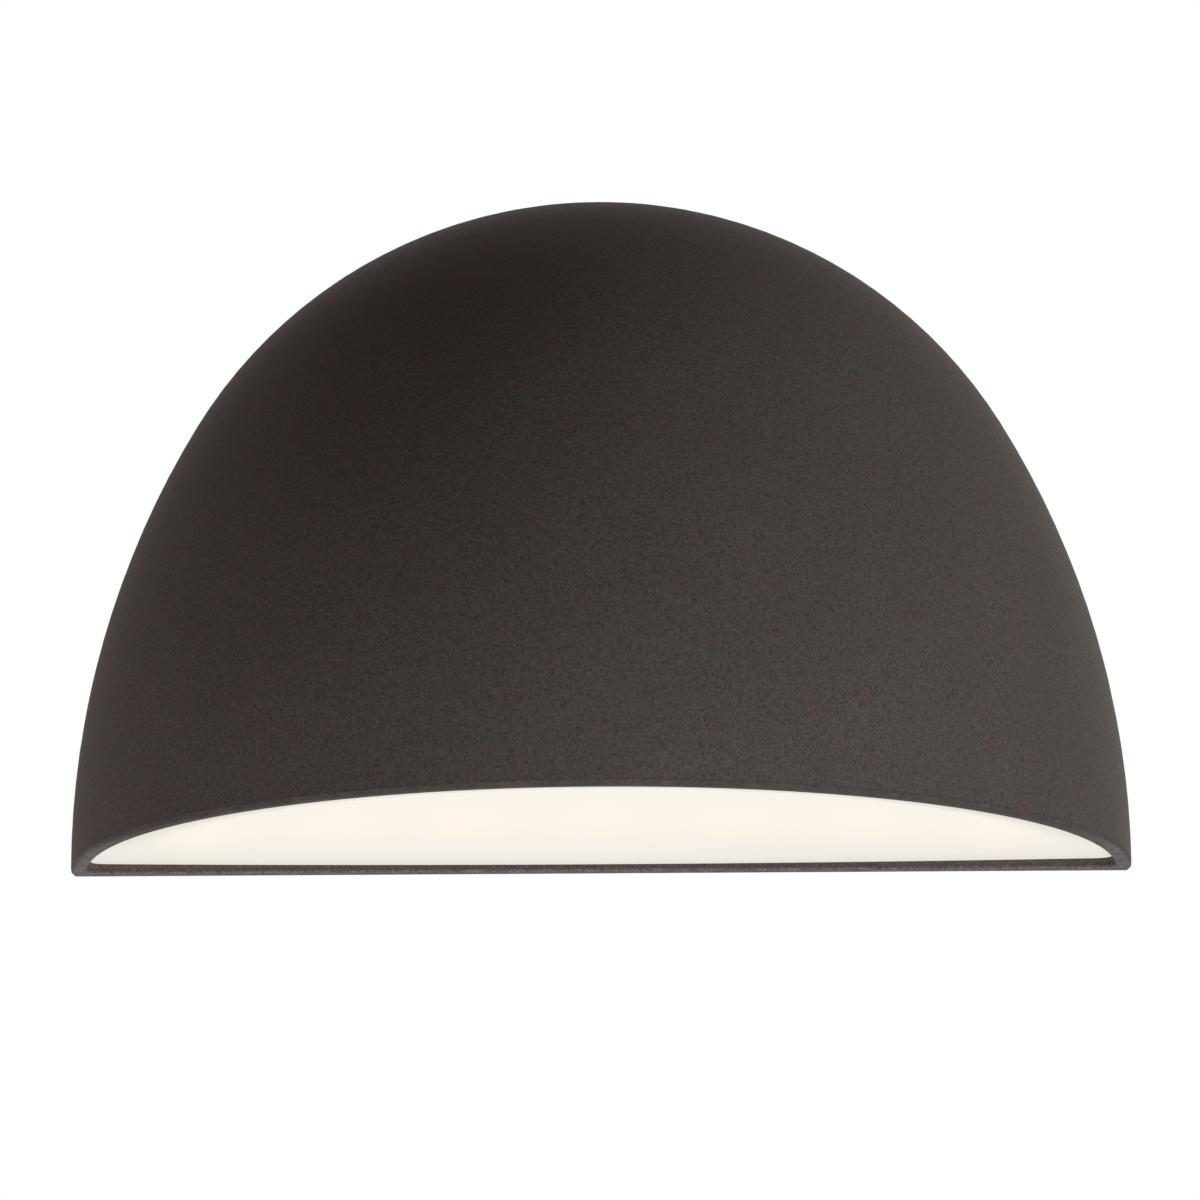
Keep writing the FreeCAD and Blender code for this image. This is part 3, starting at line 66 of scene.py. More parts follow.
# Places read from the frame
HOUSING_LOW, HOUSING_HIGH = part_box("dome_housing")
LENS_LOW, LENS_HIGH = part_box("lens_diffuser")
LEDS_LOW, LEDS_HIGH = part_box("leds")
RIM_Z = HOUSING_LOW.z
REAR_Y = HOUSING_HIGH.y
LED_COUNT = 7
LED_SIZE = 0.0035
LED_PITCH = (LEDS_HIGH.x - LEDS_LOW.x - LED_SIZE) / (LED_COUNT - 1)
LED_SAG = LEDS_HIGH.y - LEDS_LOW.y - LED_SIZE
LED_REACH = LED_PITCH * (LED_COUNT - 1) / 2
LED_ARC_RADIUS = (LED_REACH ** 2 + LED_SAG ** 2) / (2 * LED_SAG)
LED_ARC_CENTRE = LEDS_LOW.y + LED_SIZE / 2 + LED_ARC_RADIUS
COPPER_RUN_OFFSET, COPPER_RUN_HALF_WIDTH = 0.0045, 0.0011

# Lens as moulded
LENS_BOW = 0.0008
LENS_EDGE = 0.0006
LENS_CORNER = 0.0037
LENS_MIDDLE_Y = (LENS_LOW.y + LENS_HIGH.y) / 2
CORNER_STEPS, ARC_STEPS, REAR_STEPS, EDGE_STEPS, FACE_STEPS = 6, 120, 60, 5, 10

# Light in the lens: a warm spot under each emitter, less at the round edge, greyer at the rear.
# Insets are taken from the round edge, depths from the rear of the housing.
SPOT_HALF_WIDTH, SPOT_HALF_DEPTH = 0.0105, 0.022
SPOT_SHARE_AT_EDGE = 0.3679
LENS_DIM_START, LENS_DIM_END = 0.004, 0.012
DIM_DEPTH_START, DIM_DEPTH_FULL = 0.02, 0.075
WARM_DEPTH_START, WARM_DEPTH_FULL = 0.012, 0.06
LENS_REAR_TONE, LENS_FRONT_TONE = (241, 234, 227), (249, 240, 229)
LENS_SPOT_TONE, LENS_HAZE_TONE, LENS_DIM_TONE = (255, 244, 226), (246, 240, 233), (191, 191, 186)
LENS_UNLIT_TONE, LENS_STRENGTH = (92, 89, 85), 0.81

# Coat on the housing: tones, and where the rim's foot takes over with its painted shade and painted
# highlight, by height above the rim and by distance from the rear of the housing
COAT_TONE, COAT_PATCH_TONE = (82, 74, 70), (87, 78, 74)
COAT_TINT, COAT_WARM_GRAIN, COAT_DARK_FLECK = (90, 71, 69), (107, 92, 87), (62, 57, 54)
# Painted light on the rim's foot: painted shade in front, a painted highlight at the rear, and painted
# shade on the pocket wall beside the lens
FOOT_FRONT_PAINTED_SHADE, FOOT_REAR_PAINTED_HIGHLIGHT, POCKET_PAINTED_SHADE = (60, 54, 52), (126, 119, 119), (71, 61, 63)
FOOT_TOP, FOOT_END = 0.0011, 0.0017
POCKET_SHADE_START, POCKET_SHADE_FULL = 0.0001, 0.0007
FOOT_REAR_START, FOOT_REAR_FULL = 0.065, 0.03

# The middle of a noise's range, which is spread out to give it contrast
NOISE_SPAN = 0.3, 0.7
NOISE_CORE = 0.35, 0.65

# Clamp screws in the supply terminal
TERMINAL_LOW, TERMINAL_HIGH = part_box("supply_terminal")
TERMINAL_LENGTH, POLE_PITCH, WELL_DEPTH = 0.026, 0.008, 0.005
CLAMP_RADIUS, CLAMP_DEPTH, CLAMP_SLOT_WIDTH, CLAMP_SLOT_DEPTH = 0.0017, 0.0016, 0.0006, 0.0007
CLAMP_TURNS = {-1: 34, 0: 102, 1: -21}
HEAD_STEPS = 16


# Material building
class Finish:
    """A material's node tree round one Principled shader."""

    def __init__(self, name, roughness=0.5, metallic=0.0, specular=0.5, edge=0.0004):
        self.edge = edge
        self.material = bpy.data.materials.new(name)
        self.material.use_nodes = True
        self.tree = self.material.node_tree
        self.shader = self.tree.nodes["Principled BSDF"]
        self.set("Roughness", roughness)
        self.set("Metallic", metallic)
        self.set("Specular IOR Level", specular)
        self.place = self.node("ShaderNodeTexCoord").outputs["Object"]

    def node(self, kind, inputs=None, **settings):
        made = self.tree.nodes.new(kind)
        for key, value in settings.items():
            setattr(made, key, value)
        for key, value in (inputs or {}).items():
            if isinstance(value, bpy.types.NodeSocket):
                self.tree.links.new(value, made.inputs[key])
            else:
                made.inputs[key].default_value = value
        return made

    def set(self, socket, value):
        target = self.shader.inputs[socket]
        if isinstance(value, bpy.types.NodeSocket):
            self.tree.links.new(value, target)
        else:
            target.default_value = value

    def stretched(self, x, y, z):
        """Object coordinates scaled unevenly, for grain that runs one way."""
        mapping = self.node("ShaderNodeMapping", {"Vector": self.place, "Scale": (x, y, z)})
        return mapping.outputs["Vector"]

    def noise(self, scale, detail=2.0, roughness=0.5, place=None):
        made = self.node("ShaderNodeTexNoise", {
            "Vector": place or self.place, "Scale": scale, "Detail": detail, "Roughness": roughness,
        })
        return made.outputs["Fac"]

    def cells(self, scale, feature="F1", output="Distance", place=None):
        inputs = {"Vector": place or self.place, "Scale": scale}
        made = self.node("ShaderNodeTexVoronoi", inputs, feature=feature)
        return made.outputs[output]

    def math(self, operation, first, second=0.0, third=0.0):
        made = self.node("ShaderNodeMath", {0: first, 1: second, 2: third}, operation=operation)
        return made.outputs[0]

    def spread(self, value, low, high, to_low=0.0, to_high=1.0):
        """The value's run from low to high as a run from to_low to to_high, held at both ends."""
        made = self.node("ShaderNodeMapRange", {
            "Value": value, "From Min": low, "From Max": high, "To Min": to_low, "To Max": to_high,
        })
        return made.outputs[0]

    def mix(self, share, first, second):
        """The first colour at share 0, the second at share 1."""
        factor, colour_a, colour_b, colour_out = 0, 6, 7, 2
        inputs = {factor: share, colour_a: first, colour_b: second}
        made = self.node("ShaderNodeMix", inputs, data_type="RGBA")
        return made.outputs[colour_out]

    def colour(self, value):
        self.set("Base Color", value)

    def bumps(self, *layers):
        """Height fields, each with its depth in metres, from coarse to fine, over rounded edges."""
        normal = self.node("ShaderNodeBevel", {"Radius": self.edge}, samples=8).outputs["Normal"]
        for height, depth in layers:
            inputs = {"Height": height, "Distance": depth, "Strength": 1.0, "Normal": normal}
            normal = self.node("ShaderNodeBump", inputs).outputs["Normal"]
        self.set("Normal", normal)


def powder_coat():
    """Dark bronze powder coat: a fine pebbled skin with warm and dark grains.

    The rim's foot is darker at the front, a painted shade, and greyer at the rear, a painted highlight,
    below the pocket wall darkened by painted shade.
    """
    coat = Finish("dark_bronze_powder_coat", roughness=0.78, specular=0.08, edge=0.0006)
    coat.set("Specular Tint", srgb(255, 232, 222))
    grain = coat.noise(2300, 2.0, 0.6)
    flecks = coat.noise(1500, 1.0, place=coat.stretched(1, 1.07, 0.93))
    patches = coat.spread(coat.noise(38, 3.0), *NOISE_SPAN)
    tints = coat.spread(coat.noise(210, 3.0, 0.6), *NOISE_CORE)
    even = coat.mix(patches, srgb(*COAT_TONE), srgb(*COAT_PATCH_TONE))
    axes = coat.node("ShaderNodeSeparateXYZ", {"Vector": coat.place}).outputs
    # The foot's painted light: painted shade in front turning to a painted highlight at the rear
    rear_highlight_share = coat.spread(axes["Y"], REAR_Y - FOOT_REAR_START, REAR_Y - FOOT_REAR_FULL)
    # Painted shade on the pocket wall above the rim, in place of the rear's painted highlight
    pocket = coat.spread(axes["Z"], RIM_Z + POCKET_SHADE_START, RIM_Z + POCKET_SHADE_FULL)
    rear_painted_light = coat.mix(pocket, srgb(*FOOT_REAR_PAINTED_HIGHLIGHT), srgb(*POCKET_PAINTED_SHADE))
    foot_painted_light = coat.mix(rear_highlight_share, srgb(*FOOT_FRONT_PAINTED_SHADE), rear_painted_light)
    # The band of the foot where this painted shade and painted highlight replace the even coat
    foot = coat.spread(axes["Z"], RIM_Z + FOOT_TOP, RIM_Z + FOOT_END, to_low=1.0, to_high=0.0)
    skin = coat.mix(foot, even, foot_painted_light)
    base = coat.mix(coat.math("MULTIPLY", tints, 0.7), skin, srgb(*COAT_TINT))
    warm = coat.mix(coat.spread(grain, 0.52, 0.75), base, srgb(*COAT_WARM_GRAIN))
    coat.colour(coat.mix(coat.spread(flecks, 0.4, 0.75), warm, srgb(*COAT_DARK_FLECK)))
    coat.set("Roughness", coat.spread(grain, *NOISE_SPAN, to_low=0.72, to_high=0.84))
    pebbles, pores = coat.noise(420, 2.0), coat.noise(1150, 3.0, 0.65)
    coat.bumps((pebbles, 0.00008), (pores, 0.00006), (grain, 0.00002))
    return coat.material


def lens_glow(lens):
    """How near a point lies to an emitter, 1 under it and falling to 0, and the point's depth."""
    axes = lens.node("ShaderNodeSeparateXYZ", {"Vector": lens.place})
    x, y = axes.outputs["X"], axes.outputs["Y"]
    last = (LED_COUNT - 1) / 2
    count = lens.math("DIVIDE", x, LED_PITCH)
    nearest = lens.math("MINIMUM", lens.math("MAXIMUM", lens.math("ROUND", count), -last), last)
    across = lens.math("MULTIPLY", lens.math("SUBTRACT", count, nearest), LED_PITCH)
    chord = lens.math("SQRT", lens.math("SUBTRACT", LED_ARC_RADIUS ** 2, lens.math("MULTIPLY", x, x)))
    along = lens.math("SUBTRACT", y, lens.math("SUBTRACT", LED_ARC_CENTRE, chord))
    reach = lens.math("DIVIDE", lens.math("ABSOLUTE", along), SPOT_HALF_DEPTH)
    spot = lens.math("ADD", lens.math("POWER", lens.math("DIVIDE", across, SPOT_HALF_WIDTH), 2.0),
                     lens.math("POWER", reach, 2.0))
    return lens.math("POWER", SPOT_SHARE_AT_EDGE, spot), y


def lens_edge(lens):
    """1 at the front of the lens's round edge, where less light reaches it, falling to 0 inwards."""
    axes = lens.node("ShaderNodeSeparateXYZ", {"Vector": lens.place})
    x, depth = axes.outputs["X"], lens.math("SUBTRACT", axes.outputs["Y"], REAR_Y)
    square = lens.math("ADD", lens.math("MULTIPLY", x, x), lens.math("MULTIPLY", depth, depth))
    inset = lens.math("SUBTRACT", LENS_HIGH.x, lens.math("SQRT", square))
    near = lens.spread(inset, LENS_DIM_START, LENS_DIM_END, to_low=1.0, to_high=0.0)
    return lens.math("MULTIPLY", near, lens.spread(depth, -DIM_DEPTH_START, -DIM_DEPTH_FULL))


def frosted_lens():
    """Lit frosted lens: warm white, warmer under each emitter, dimmer in front, greyer behind."""
    lens = Finish("lit_frosted_lens", roughness=0.5, specular=0.1)
    glow, depth = lens_glow(lens)
    lens.colour(srgb(*LENS_UNLIT_TONE))
    front = lens.spread(depth, REAR_Y - WARM_DEPTH_START, REAR_Y - WARM_DEPTH_FULL)
    plain = lens.mix(front, srgb(*LENS_REAR_TONE), srgb(*LENS_FRONT_TONE))
    light = lens.mix(lens.math("MULTIPLY", glow, 0.75), plain, srgb(*LENS_SPOT_TONE))
    haze = lens.spread(lens.noise(60, 2.0), 0.4, 0.8, to_low=0.0, to_high=0.25)
    hazy = lens.mix(haze, light, srgb(*LENS_HAZE_TONE))
    lens.set("Emission Color", lens.mix(lens_edge(lens), hazy, srgb(*LENS_DIM_TONE)))
    lens.set("Emission Strength", LENS_STRENGTH)
    lens.bumps((lens.noise(2600, 2.0), 0.00002))
    return lens.material


def moulded(name, tone, dark_tone, roughness=0.55, grain_scale=900, grain_depth=0.00006, mottle_scale=30):
    """Moulded plastic or rubber: an eroded mould's grain under faint uneven colour."""
    skin = Finish(name, roughness=roughness, specular=0.4)
    mottle = skin.noise(mottle_scale, 3.0)
    grain = skin.noise(grain_scale, 3.0, 0.6)
    skin.colour(skin.mix(skin.spread(mottle, *NOISE_SPAN), srgb(*tone), srgb(*dark_tone)))
    unevenness = 0.07
    skin.set("Roughness", skin.spread(grain, *NOISE_SPAN, roughness - unevenness, roughness + unevenness))
    skin.bumps((grain, grain_depth), (skin.noise(grain_scale * 2.7, 2.0), grain_depth / 3))
    return skin.material


def drawn_metal(name, tone, dark_tone, roughness, run, metallic=1.0):
    """Rolled or turned metal: fine streaks along one way, with small scuffs."""
    metal = Finish(name, roughness=roughness, metallic=metallic)
    streaks = metal.noise(1.0, 4.0, 0.6, place=metal.stretched(*run))
    scuffs = metal.noise(140, 4.0, 0.7)
    metal.colour(metal.mix(metal.spread(streaks, *NOISE_SPAN), srgb(*tone), srgb(*dark_tone)))
    streak_wear = metal.spread(streaks, *NOISE_SPAN, to_high=0.1)
    scuff_wear = metal.spread(scuffs, 0.5, 0.75, to_high=0.14)
    wear = metal.math("ADD", streak_wear, scuff_wear)
    metal.set("Roughness", metal.math("ADD", wear, roughness - 0.08))
    metal.bumps((streaks, 0.00003), (scuffs, 0.00001))
    return metal.material


def zinc_sheet():
    """Galvanised sheet: zinc crystals of several greys, each with its own gloss."""
    zinc = Finish("galvanised_sheet", roughness=0.42, metallic=0.9)
    crystal_scale, crystal_drift = 330, (0.004, 0.004, 0.004)
    warp = zinc.noise(90, 2.0)
    drift = zinc.node("ShaderNodeTexNoise", {"Vector": zinc.place, "Scale": 150, "Detail": 3.0})
    shifted = zinc.node("ShaderNodeVectorMath", {
        0: drift.outputs["Color"], 1: crystal_drift, 2: zinc.place,
    }, operation="MULTIPLY_ADD").outputs["Vector"]
    crystal = zinc.node("ShaderNodeSeparateColor", {
        "Color": zinc.cells(crystal_scale, output="Color", place=shifted),
    })
    zinc.colour(zinc.mix(crystal.outputs["Red"], srgb(170, 174, 177), srgb(190, 193, 195)))
    facets = zinc.spread(crystal.outputs["Green"], 0.0, 1.0, to_low=0.36, to_high=0.5)
    clouds = zinc.spread(warp, *NOISE_SPAN, to_high=0.08)
    zinc.set("Roughness", zinc.math("ADD", facets, clouds))
    seams = zinc.cells(crystal_scale, "DISTANCE_TO_EDGE", place=shifted)
    zinc.bumps((seams, 0.00002), (zinc.noise(700, 3.0), 0.00002))
    return zinc.material


def foam():
    """Closed-cell foam: small pores in a dull black skin."""
    strip = Finish("gasket_foam", roughness=0.9, specular=0.15)
    pores = strip.cells(1900)
    strip.colour(strip.mix(strip.spread(pores, 0.1, 0.6), srgb(24, 24, 25), srgb(44, 44, 45)))
    strip.bumps((pores, 0.00018), (strip.noise(500, 3.0), 0.0001))
    return strip.material


def board_mask():
    """White solder mask with faint copper runs along the board and a fibre weave below."""
    board = Finish("white_solder_mask", roughness=0.34, specular=0.5)
    axes = board.node("ShaderNodeSeparateXYZ", {"Vector": board.place})
    x, y = axes.outputs["X"], axes.outputs["Y"]
    fall = board.math("SUBTRACT", y, LED_ARC_CENTRE)
    square = board.math("ADD", board.math("MULTIPLY", x, x), board.math("MULTIPLY", fall, fall))
    offset = board.math("ABSOLUTE", board.math("SUBTRACT", board.math("SQRT", square), LED_ARC_RADIUS))
    run = board.math("COMPARE", offset, COPPER_RUN_OFFSET, COPPER_RUN_HALF_WIDTH)
    weave = board.cells(850, "DISTANCE_TO_EDGE")
    mask = board.mix(board.spread(weave, 0.0, 0.4), srgb(226, 227, 222), srgb(236, 236, 231))
    board.colour(board.mix(board.math("MULTIPLY", run, 0.55), mask, srgb(205, 208, 196)))
    board.bumps((run, 0.00004), (weave, 0.00001))
    return board.material


def phosphor():
    """Light emitter: a speckled yellow phosphor face, lit."""
    face = Finish("emitter_phosphor", roughness=0.3, specular=0.5)
    speckle = face.noise(5200, 3.0)
    face.colour(face.mix(face.spread(speckle, *NOISE_CORE), srgb(240, 200, 82), srgb(250, 222, 120)))
    glow = face.mix(face.spread(speckle, *NOISE_CORE), srgb(255, 226, 150), srgb(255, 240, 196))
    face.set("Emission Color", glow)
    face.set("Emission Strength", 1.0)
    face.bumps((speckle, 0.00004))
    return face.material


# How a metal's streaks are scaled along X, Y and Z: along one way, or round a turned head
ALONG_X, ROUND = (14, 900, 900), (2400, 2400, 320)

FINISHES = {
    "dome_housing": powder_coat,
    "lens_diffuser": frosted_lens,
    "wall_gasket": foam,
    "mounting_plate": zinc_sheet,
    "led_board": board_mask,
    "leds": phosphor,
}

# Metals: name, light tone, dark tone, roughness, streaks and, for a coated one, how metallic
METALS = {
    "light_tray": ("rolled_aluminium", (205, 206, 206), (186, 187, 188), 0.36, ALONG_X),
    "tray_screws": ("stainless_tray_screw", (196, 195, 190), (170, 169, 165), 0.3, ROUND),
    "led_board_screws": ("stainless_board_screw", (198, 197, 192), (172, 171, 167), 0.3, ROUND),
    "module_screws": ("stainless_module_screw", (197, 196, 191), (171, 170, 166), 0.3, ROUND),
    "set_screws": ("blackened_set_screw", (92, 86, 82), (66, 61, 58), 0.42, ALONG_X),
    "plate_ground_screw": ("green_ground_screw", (44, 120, 62), (28, 96, 46), 0.34, ROUND, 0.6),
}
CLAMP_SCREW_METAL = ("zinc_plated_clamp_screw", (198, 196, 188), (172, 170, 163), 0.34, ROUND)

# Plastics and rubbers: name, light tone, dark tone, roughness, scale and depth of the grain and,
# for the leads, a finer mottle
LEAD_MOTTLE = 80
MOULDINGS = {
    "lens_seal": ("clear_sealant", (206, 205, 198), (190, 189, 182), 0.35, 300, 0.00008),
    "reflector": ("white_reflector", (238, 237, 232), (229, 228, 223), 0.6, 1300, 0.00003),
    "thermal_pad": ("thermal_silicone", (112, 122, 134), (96, 106, 118), 0.7, 1100, 0.0001),
    "driver_case": ("driver_case_black", (44, 44, 47), (34, 34, 37), 0.58, 780, 0.00009),
    "driver_cover": ("driver_cover_grey", (66, 67, 70), (55, 56, 59), 0.55, 780, 0.00009),
    "supply_terminal": ("terminal_nylon", (224, 222, 214), (212, 209, 200), 0.48, 1000, 0.00005),
    "led_lead_positive": ("lead_red", (168, 30, 26), (144, 22, 20), 0.4, 1500, 0.00002, LEAD_MOTTLE),
    "led_lead_negative": ("lead_black", (38, 37, 38), (27, 26, 27), 0.4, 1500, 0.00002, LEAD_MOTTLE),
    "input_lead_live": ("lead_live_black", (40, 39, 40), (28, 27, 28), 0.4, 1500, 0.00002, LEAD_MOTTLE),
    "input_lead_neutral": (
        "lead_neutral_white", (226, 224, 219), (212, 210, 204), 0.42, 1500, 0.00002, LEAD_MOTTLE,
    ),
    "lead_bushing": ("lead_bush_rubber", (40, 39, 38), (29, 28, 28), 0.68, 900, 0.0001),
    "wire_bushing": ("wire_bush_rubber", (44, 43, 42), (31, 30, 30), 0.68, 900, 0.0001),
}


def dress(name, material):
    """Gives a solid of the frame its one material."""
    materials = NODES[name].data.materials
    materials.clear()
    materials.append(material)


for name, finish in FINISHES.items():
    dress(name, finish())
for name, recipe in METALS.items():
    dress(name, drawn_metal(*recipe))
for name, recipe in MOULDINGS.items():
    dress(name, moulded(*recipe))


# Pieces
def new_piece(name, mesh, body, finish):
    """A shown piece of the scene that rides on a body and takes its finish from a slot."""
    piece = bpy.data.objects.new(name, mesh)
    bpy.context.scene.collection.objects.link(piece)
    mesh.materials.append(finish)
    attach(piece, body)
    return piece


def lens_plan(inset):
    """Plan of the lens, set in from its edge: a half disc with rounded rear corners."""
    radius, back = LENS_HIGH.x - inset, REAR_Y - LENS_HIGH.y + inset
    corner = LENS_CORNER - inset
    corner_y = -back - corner
    corner_x = math.sqrt((radius - corner) ** 2 - corner_y ** 2)
    lean = math.atan2(corner_y, corner_x)
    points = []
    for step in range(CORNER_STEPS):
        angle = math.pi / 2 + (lean - math.pi / 2) * step / CORNER_STEPS
        points.append((corner_x + corner * math.cos(angle), corner_y + corner * math.sin(angle)))
    half_turn = math.pi + 2 * lean
    for step in range(ARC_STEPS + 1):
        angle = lean - half_turn * step / ARC_STEPS
        points.append((radius * math.cos(angle), radius * math.sin(angle)))
    points += [(-x, y) for x, y in reversed(points[:CORNER_STEPS])]
    for step in range(1, REAR_STEPS):
        points.append((-corner_x + 2 * corner_x * step / REAR_STEPS, -back))
    return [(x, y + REAR_Y) for x, y in points]


def lens_under(x):
    """Height of the lens's underside, which is bowed down in the middle."""
    return LENS_LOW.z + LENS_BOW * (x / LENS_HIGH.x) ** 2


def make_lens():
    """The lens as moulded: a bowed underside with a rounded edge."""
    rings = [[(x, y, LENS_HIGH.z) for x, y in lens_plan(0)]]
    for step in range(EDGE_STEPS + 1):
        angle = math.pi / 2 * step / EDGE_STEPS
        inset, rise = LENS_EDGE * (1 - math.cos(angle)), LENS_EDGE * (1 - math.sin(angle))
        rings.append([(x, y, lens_under(x) + rise) for x, y in lens_plan(inset)])
    edge = rings[-1]
    for step in range(1, FACE_STEPS):
        share = 1 - step / FACE_STEPS
        ring = [(x * share, LENS_MIDDLE_Y + (y - LENS_MIDDLE_Y) * share) for x, y, _ in edge]
        rings.append([(x, y, lens_under(x)) for x, y in ring])
    count = len(edge)
    vertices = [point for ring in rings for point in ring]
    faces = [tuple(range(count))]
    for ring in range(len(rings) - 1):
        first = ring * count
        for step in range(count):
            after = (step + 1) % count
            faces.append((first + step, first + count + step, first + count + after, first + after))
    middle = len(vertices)
    vertices.append((0, LENS_MIDDLE_Y, lens_under(0)))
    last = middle - count
    faces += [(last + step, middle, last + (step + 1) % count) for step in range(count)]
    mesh = bpy.data.meshes.new("lens_moulded")
    mesh.from_pydata(vertices, [], faces)
    mesh.flip_normals()
    mesh.shade_smooth()
    mesh.polygons[0].use_smooth = False
    lens = new_piece("lens_moulded", mesh, "housing", frosted_lens())
    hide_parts("lens_diffuser")


def slotted_disc(name, radius, depth, slot_width, slot_depth):
    """A flat screw head with a straight slot across: two half rounds on one round base."""
    reach = math.asin(slot_width / 2 / radius)
    half = []
    for step in range(HEAD_STEPS + 1):
        angle = reach + (math.pi - 2 * reach) * step / HEAD_STEPS
        half.append((radius * math.cos(angle), radius * math.sin(angle)))
    ring = half + [(-x, -y) for x, y in half]
    count, turn = len(half), len(ring)
    vertices = [(x, y, z) for z in (0, -slot_depth, -depth) for x, y in ring]
    underside = tuple(range(3 * turn - 1, 2 * turn - 1, -1))
    slot_floor = (turn, turn + count - 1, turn + count, 2 * turn - 1)
    faces = [underside, slot_floor]
    for first in (0, count):
        faces.append(tuple(range(first, first + count)))
        for step in range(count):
            here, after = first + step, first + (step + 1) % count
            faces.append((turn + here, turn + after, after, here))
    for here in range(turn):
        after = (here + 1) % turn
        faces.append((2 * turn + here, 2 * turn + after, turn + after, turn + here))
    mesh = bpy.data.meshes.new(name)
    mesh.from_pydata(vertices, [], faces)
    return mesh


def make_terminal_screws():
    """The clamp screws at the bottom of the terminal's three wells."""
    middle_x = TERMINAL_HIGH.x - TERMINAL_LENGTH / 2
    middle_y = (TERMINAL_LOW.y + TERMINAL_HIGH.y) / 2
    finish = drawn_metal(*CLAMP_SCREW_METAL)
    for pole, degrees in CLAMP_TURNS.items():
        name = f"clamp_screw_{pole + 2}"
        mesh = slotted_disc(name, CLAMP_RADIUS, CLAMP_DEPTH, CLAMP_SLOT_WIDTH, CLAMP_SLOT_DEPTH)
        top = TERMINAL_HIGH.z - WELL_DEPTH + CLAMP_DEPTH
        turn = Matrix.Rotation(math.radians(degrees), 4, "Z")
        mesh.transform(Matrix.Translation((middle_x + pole * POLE_PITCH, middle_y, top)) @ turn)
        new_piece(name, mesh, "housing", finish)


make_lens()
make_terminal_screws()


# Camera
def place_camera():
    """The photograph's view: from slightly below, far off, with its small roll and framing."""
    target = Vector((0, REAR_Y - TARGET_FORWARD, RIM_Z + TARGET_RISE))
    back = Vector((
        math.sin(CAMERA_YAW) * math.cos(CAMERA_FALL),
        -math.cos(CAMERA_YAW) * math.cos(CAMERA_FALL),
        -math.sin(CAMERA_FALL),
    ))
    location = target + back * CAMERA_DISTANCE
    pixels_off = (TARGET_PIXEL[0] - PHOTO_SIZE / 2, PHOTO_SIZE / 2 - TARGET_PIXEL[1])
    level = back.to_track_quat("Z", "Y").to_matrix()
    aim = level @ Vector((-pixels_off[0] / FOCAL_PIXELS, -pixels_off[1] / FOCAL_PIXELS, -1)).normalized()
    facing = (-aim).to_track_quat("Z", "Y").to_matrix() @ Matrix.Rotation(-CAMERA_ROLL, 3, "Z")
    data = bpy.data.cameras.new("photo_camera")
    data.sensor_width = SENSOR_WIDTH
    data.lens = SENSOR_WIDTH * FOCAL_PIXELS / PHOTO_SIZE
    data.clip_start, data.clip_end = 0.1, 20
    camera = bpy.data.objects.new("photo_camera", data)
    camera.matrix_world = Matrix.Translation(location) @ facing.to_4x4()
    bpy.context.scene.collection.objects.link(camera)
    bpy.context.scene.camera = camera


# Light, and how strong the world is on the object. Lamps: name, place, size, watts and tone
AMBIENT = 0.01
LAMPS = [
    ("key_right", (2.0, -1.3, -0.8), 1.8, 66, (239, 254, 255)),
    ("left_floor", (-0.9, -1.0, -1.7), 1.2, 31, (245, 255, 253)),
    ("left_rim", (-2.0, 0.2, -0.6), 1.2, 5.5, (255, 241, 240)),
    ("above", (0.0, -1.2, 2.2), 1.4, 6.5, (255, 228, 218)),
    ("rear_fill", (0.3, 2.4, 0.4), 2.0, 12, (255, 255, 255)),
]
FLOOR_Z, FLOOR_HALF = -4.2, 6.0


def soft_box(name, location, size, power, tone):
    """A square studio lamp that faces the object and isn't itself seen."""
    data = bpy.data.lights.new(name, "AREA")
    data.size = size
    data.energy = power
    data.color = srgb(*tone)[:3]
    lamp = bpy.data.objects.new(name, data)
    place = Vector(location)
    lamp.matrix_world = Matrix.Translation(place) @ place.to_track_quat("Z", "Y").to_matrix().to_4x4()
    lamp.visible_camera = False
    bpy.context.scene.collection.objects.link(lamp)


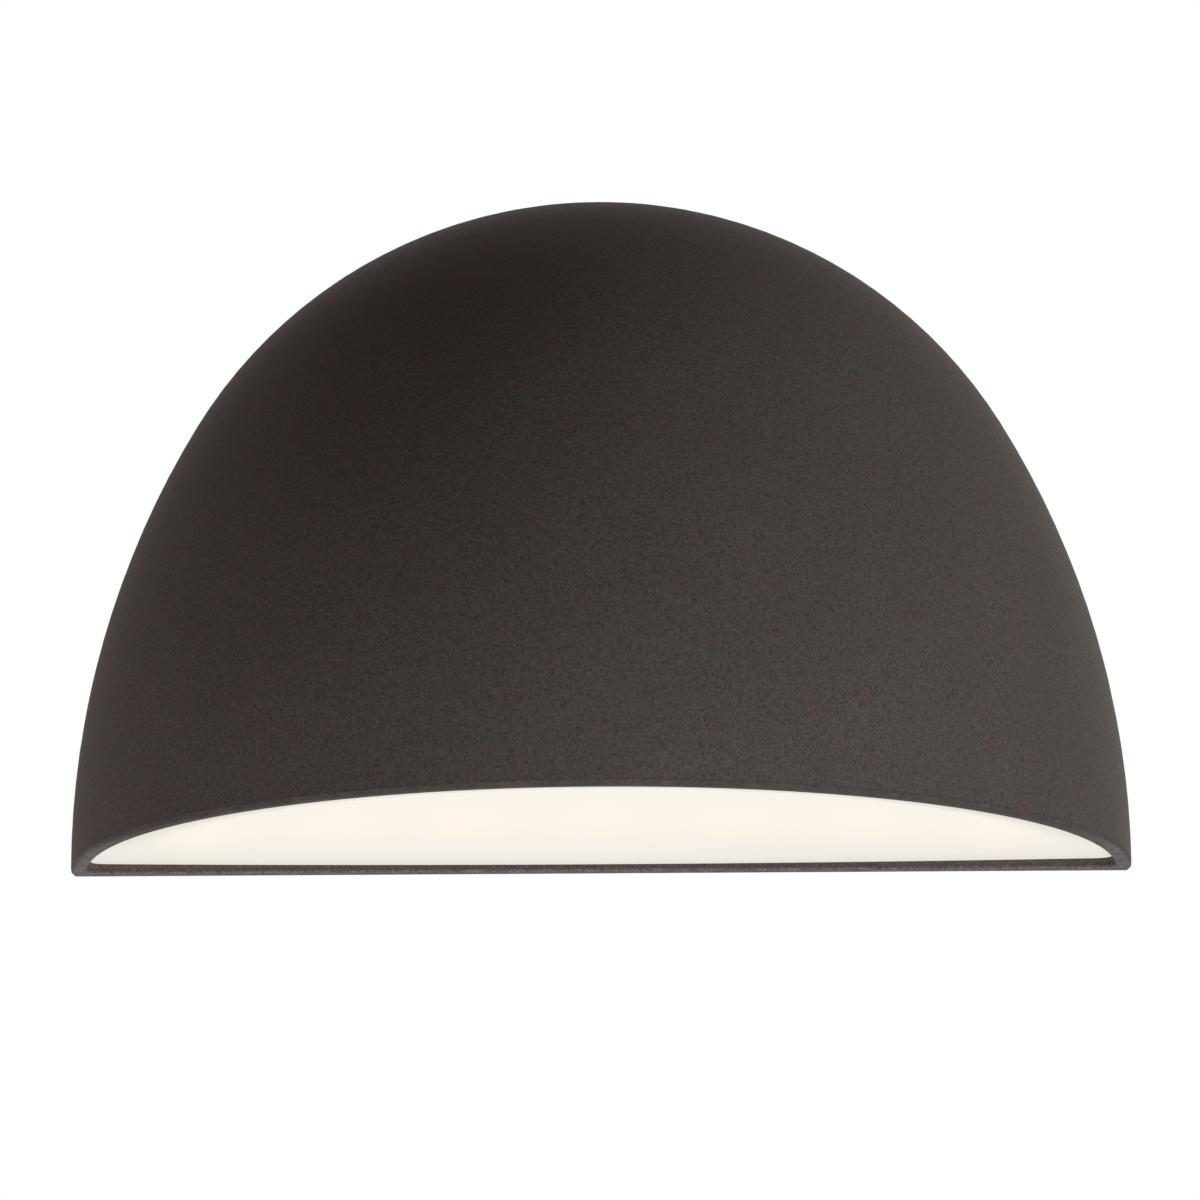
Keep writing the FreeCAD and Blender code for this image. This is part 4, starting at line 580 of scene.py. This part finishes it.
def seen_directly(tree):
    """1 for rays of the camera, of reflections and through glass, 0 for light on the object."""
    rays = tree.nodes.new("ShaderNodeLightPath")
    seen = rays.outputs["Is Camera Ray"]
    for other in ("Is Glossy Ray", "Is Transmission Ray"):
        either = tree.nodes.new("ShaderNodeMath")
        either.operation = "MAXIMUM"
        tree.links.new(seen, either.inputs[0])
        tree.links.new(rays.outputs[other], either.inputs[1])
        seen = either.outputs[0]
    return seen


def white_surround(ambient):
    """White to the camera and in reflections, and a dim even light on the object."""
    world = bpy.data.worlds.new("studio")
    world.use_nodes = True
    tree = world.node_tree
    dim = tree.nodes["Background"]
    dim.inputs["Color"].default_value = srgb(250, 250, 255)
    dim.inputs["Strength"].default_value = ambient
    white = tree.nodes.new("ShaderNodeBackground")
    white.inputs["Color"].default_value = (1, 1, 1, 1)
    seen = seen_directly(tree)
    blend = tree.nodes.new("ShaderNodeMixShader")
    tree.links.new(seen, blend.inputs[0])
    tree.links.new(dim.outputs[0], blend.inputs[1])
    tree.links.new(white.outputs[0], blend.inputs[2])
    tree.links.new(blend.outputs[0], tree.nodes["World Output"].inputs["Surface"])
    bpy.context.scene.world = world


def pale_floor():
    """A plain floor well below the light, with a faint unevenness."""
    half = FLOOR_HALF
    corners = [(-half, -half, 0), (half, -half, 0), (half, half, 0), (-half, half, 0)]
    mesh = bpy.data.meshes.new("floor")
    mesh.from_pydata(corners, [], [(0, 1, 2, 3)])
    floor = bpy.data.objects.new("floor", mesh)
    floor.location.z = FLOOR_Z
    bpy.context.scene.collection.objects.link(floor)
    paint = Finish("pale_floor", roughness=0.8, specular=0.1)
    shade = paint.mix(paint.noise(3), srgb(240, 240, 240), srgb(246, 246, 246))
    paint.colour(shade)
    paint.set("Emission Color", shade)
    paint.set("Emission Strength", seen_directly(paint.tree))
    mesh.materials.append(paint.material)


place_camera()
white_surround(AMBIENT)
for lamp in LAMPS:
    soft_box(*lamp)
pale_floor()
bpy.context.scene.view_settings.view_transform = "Standard"
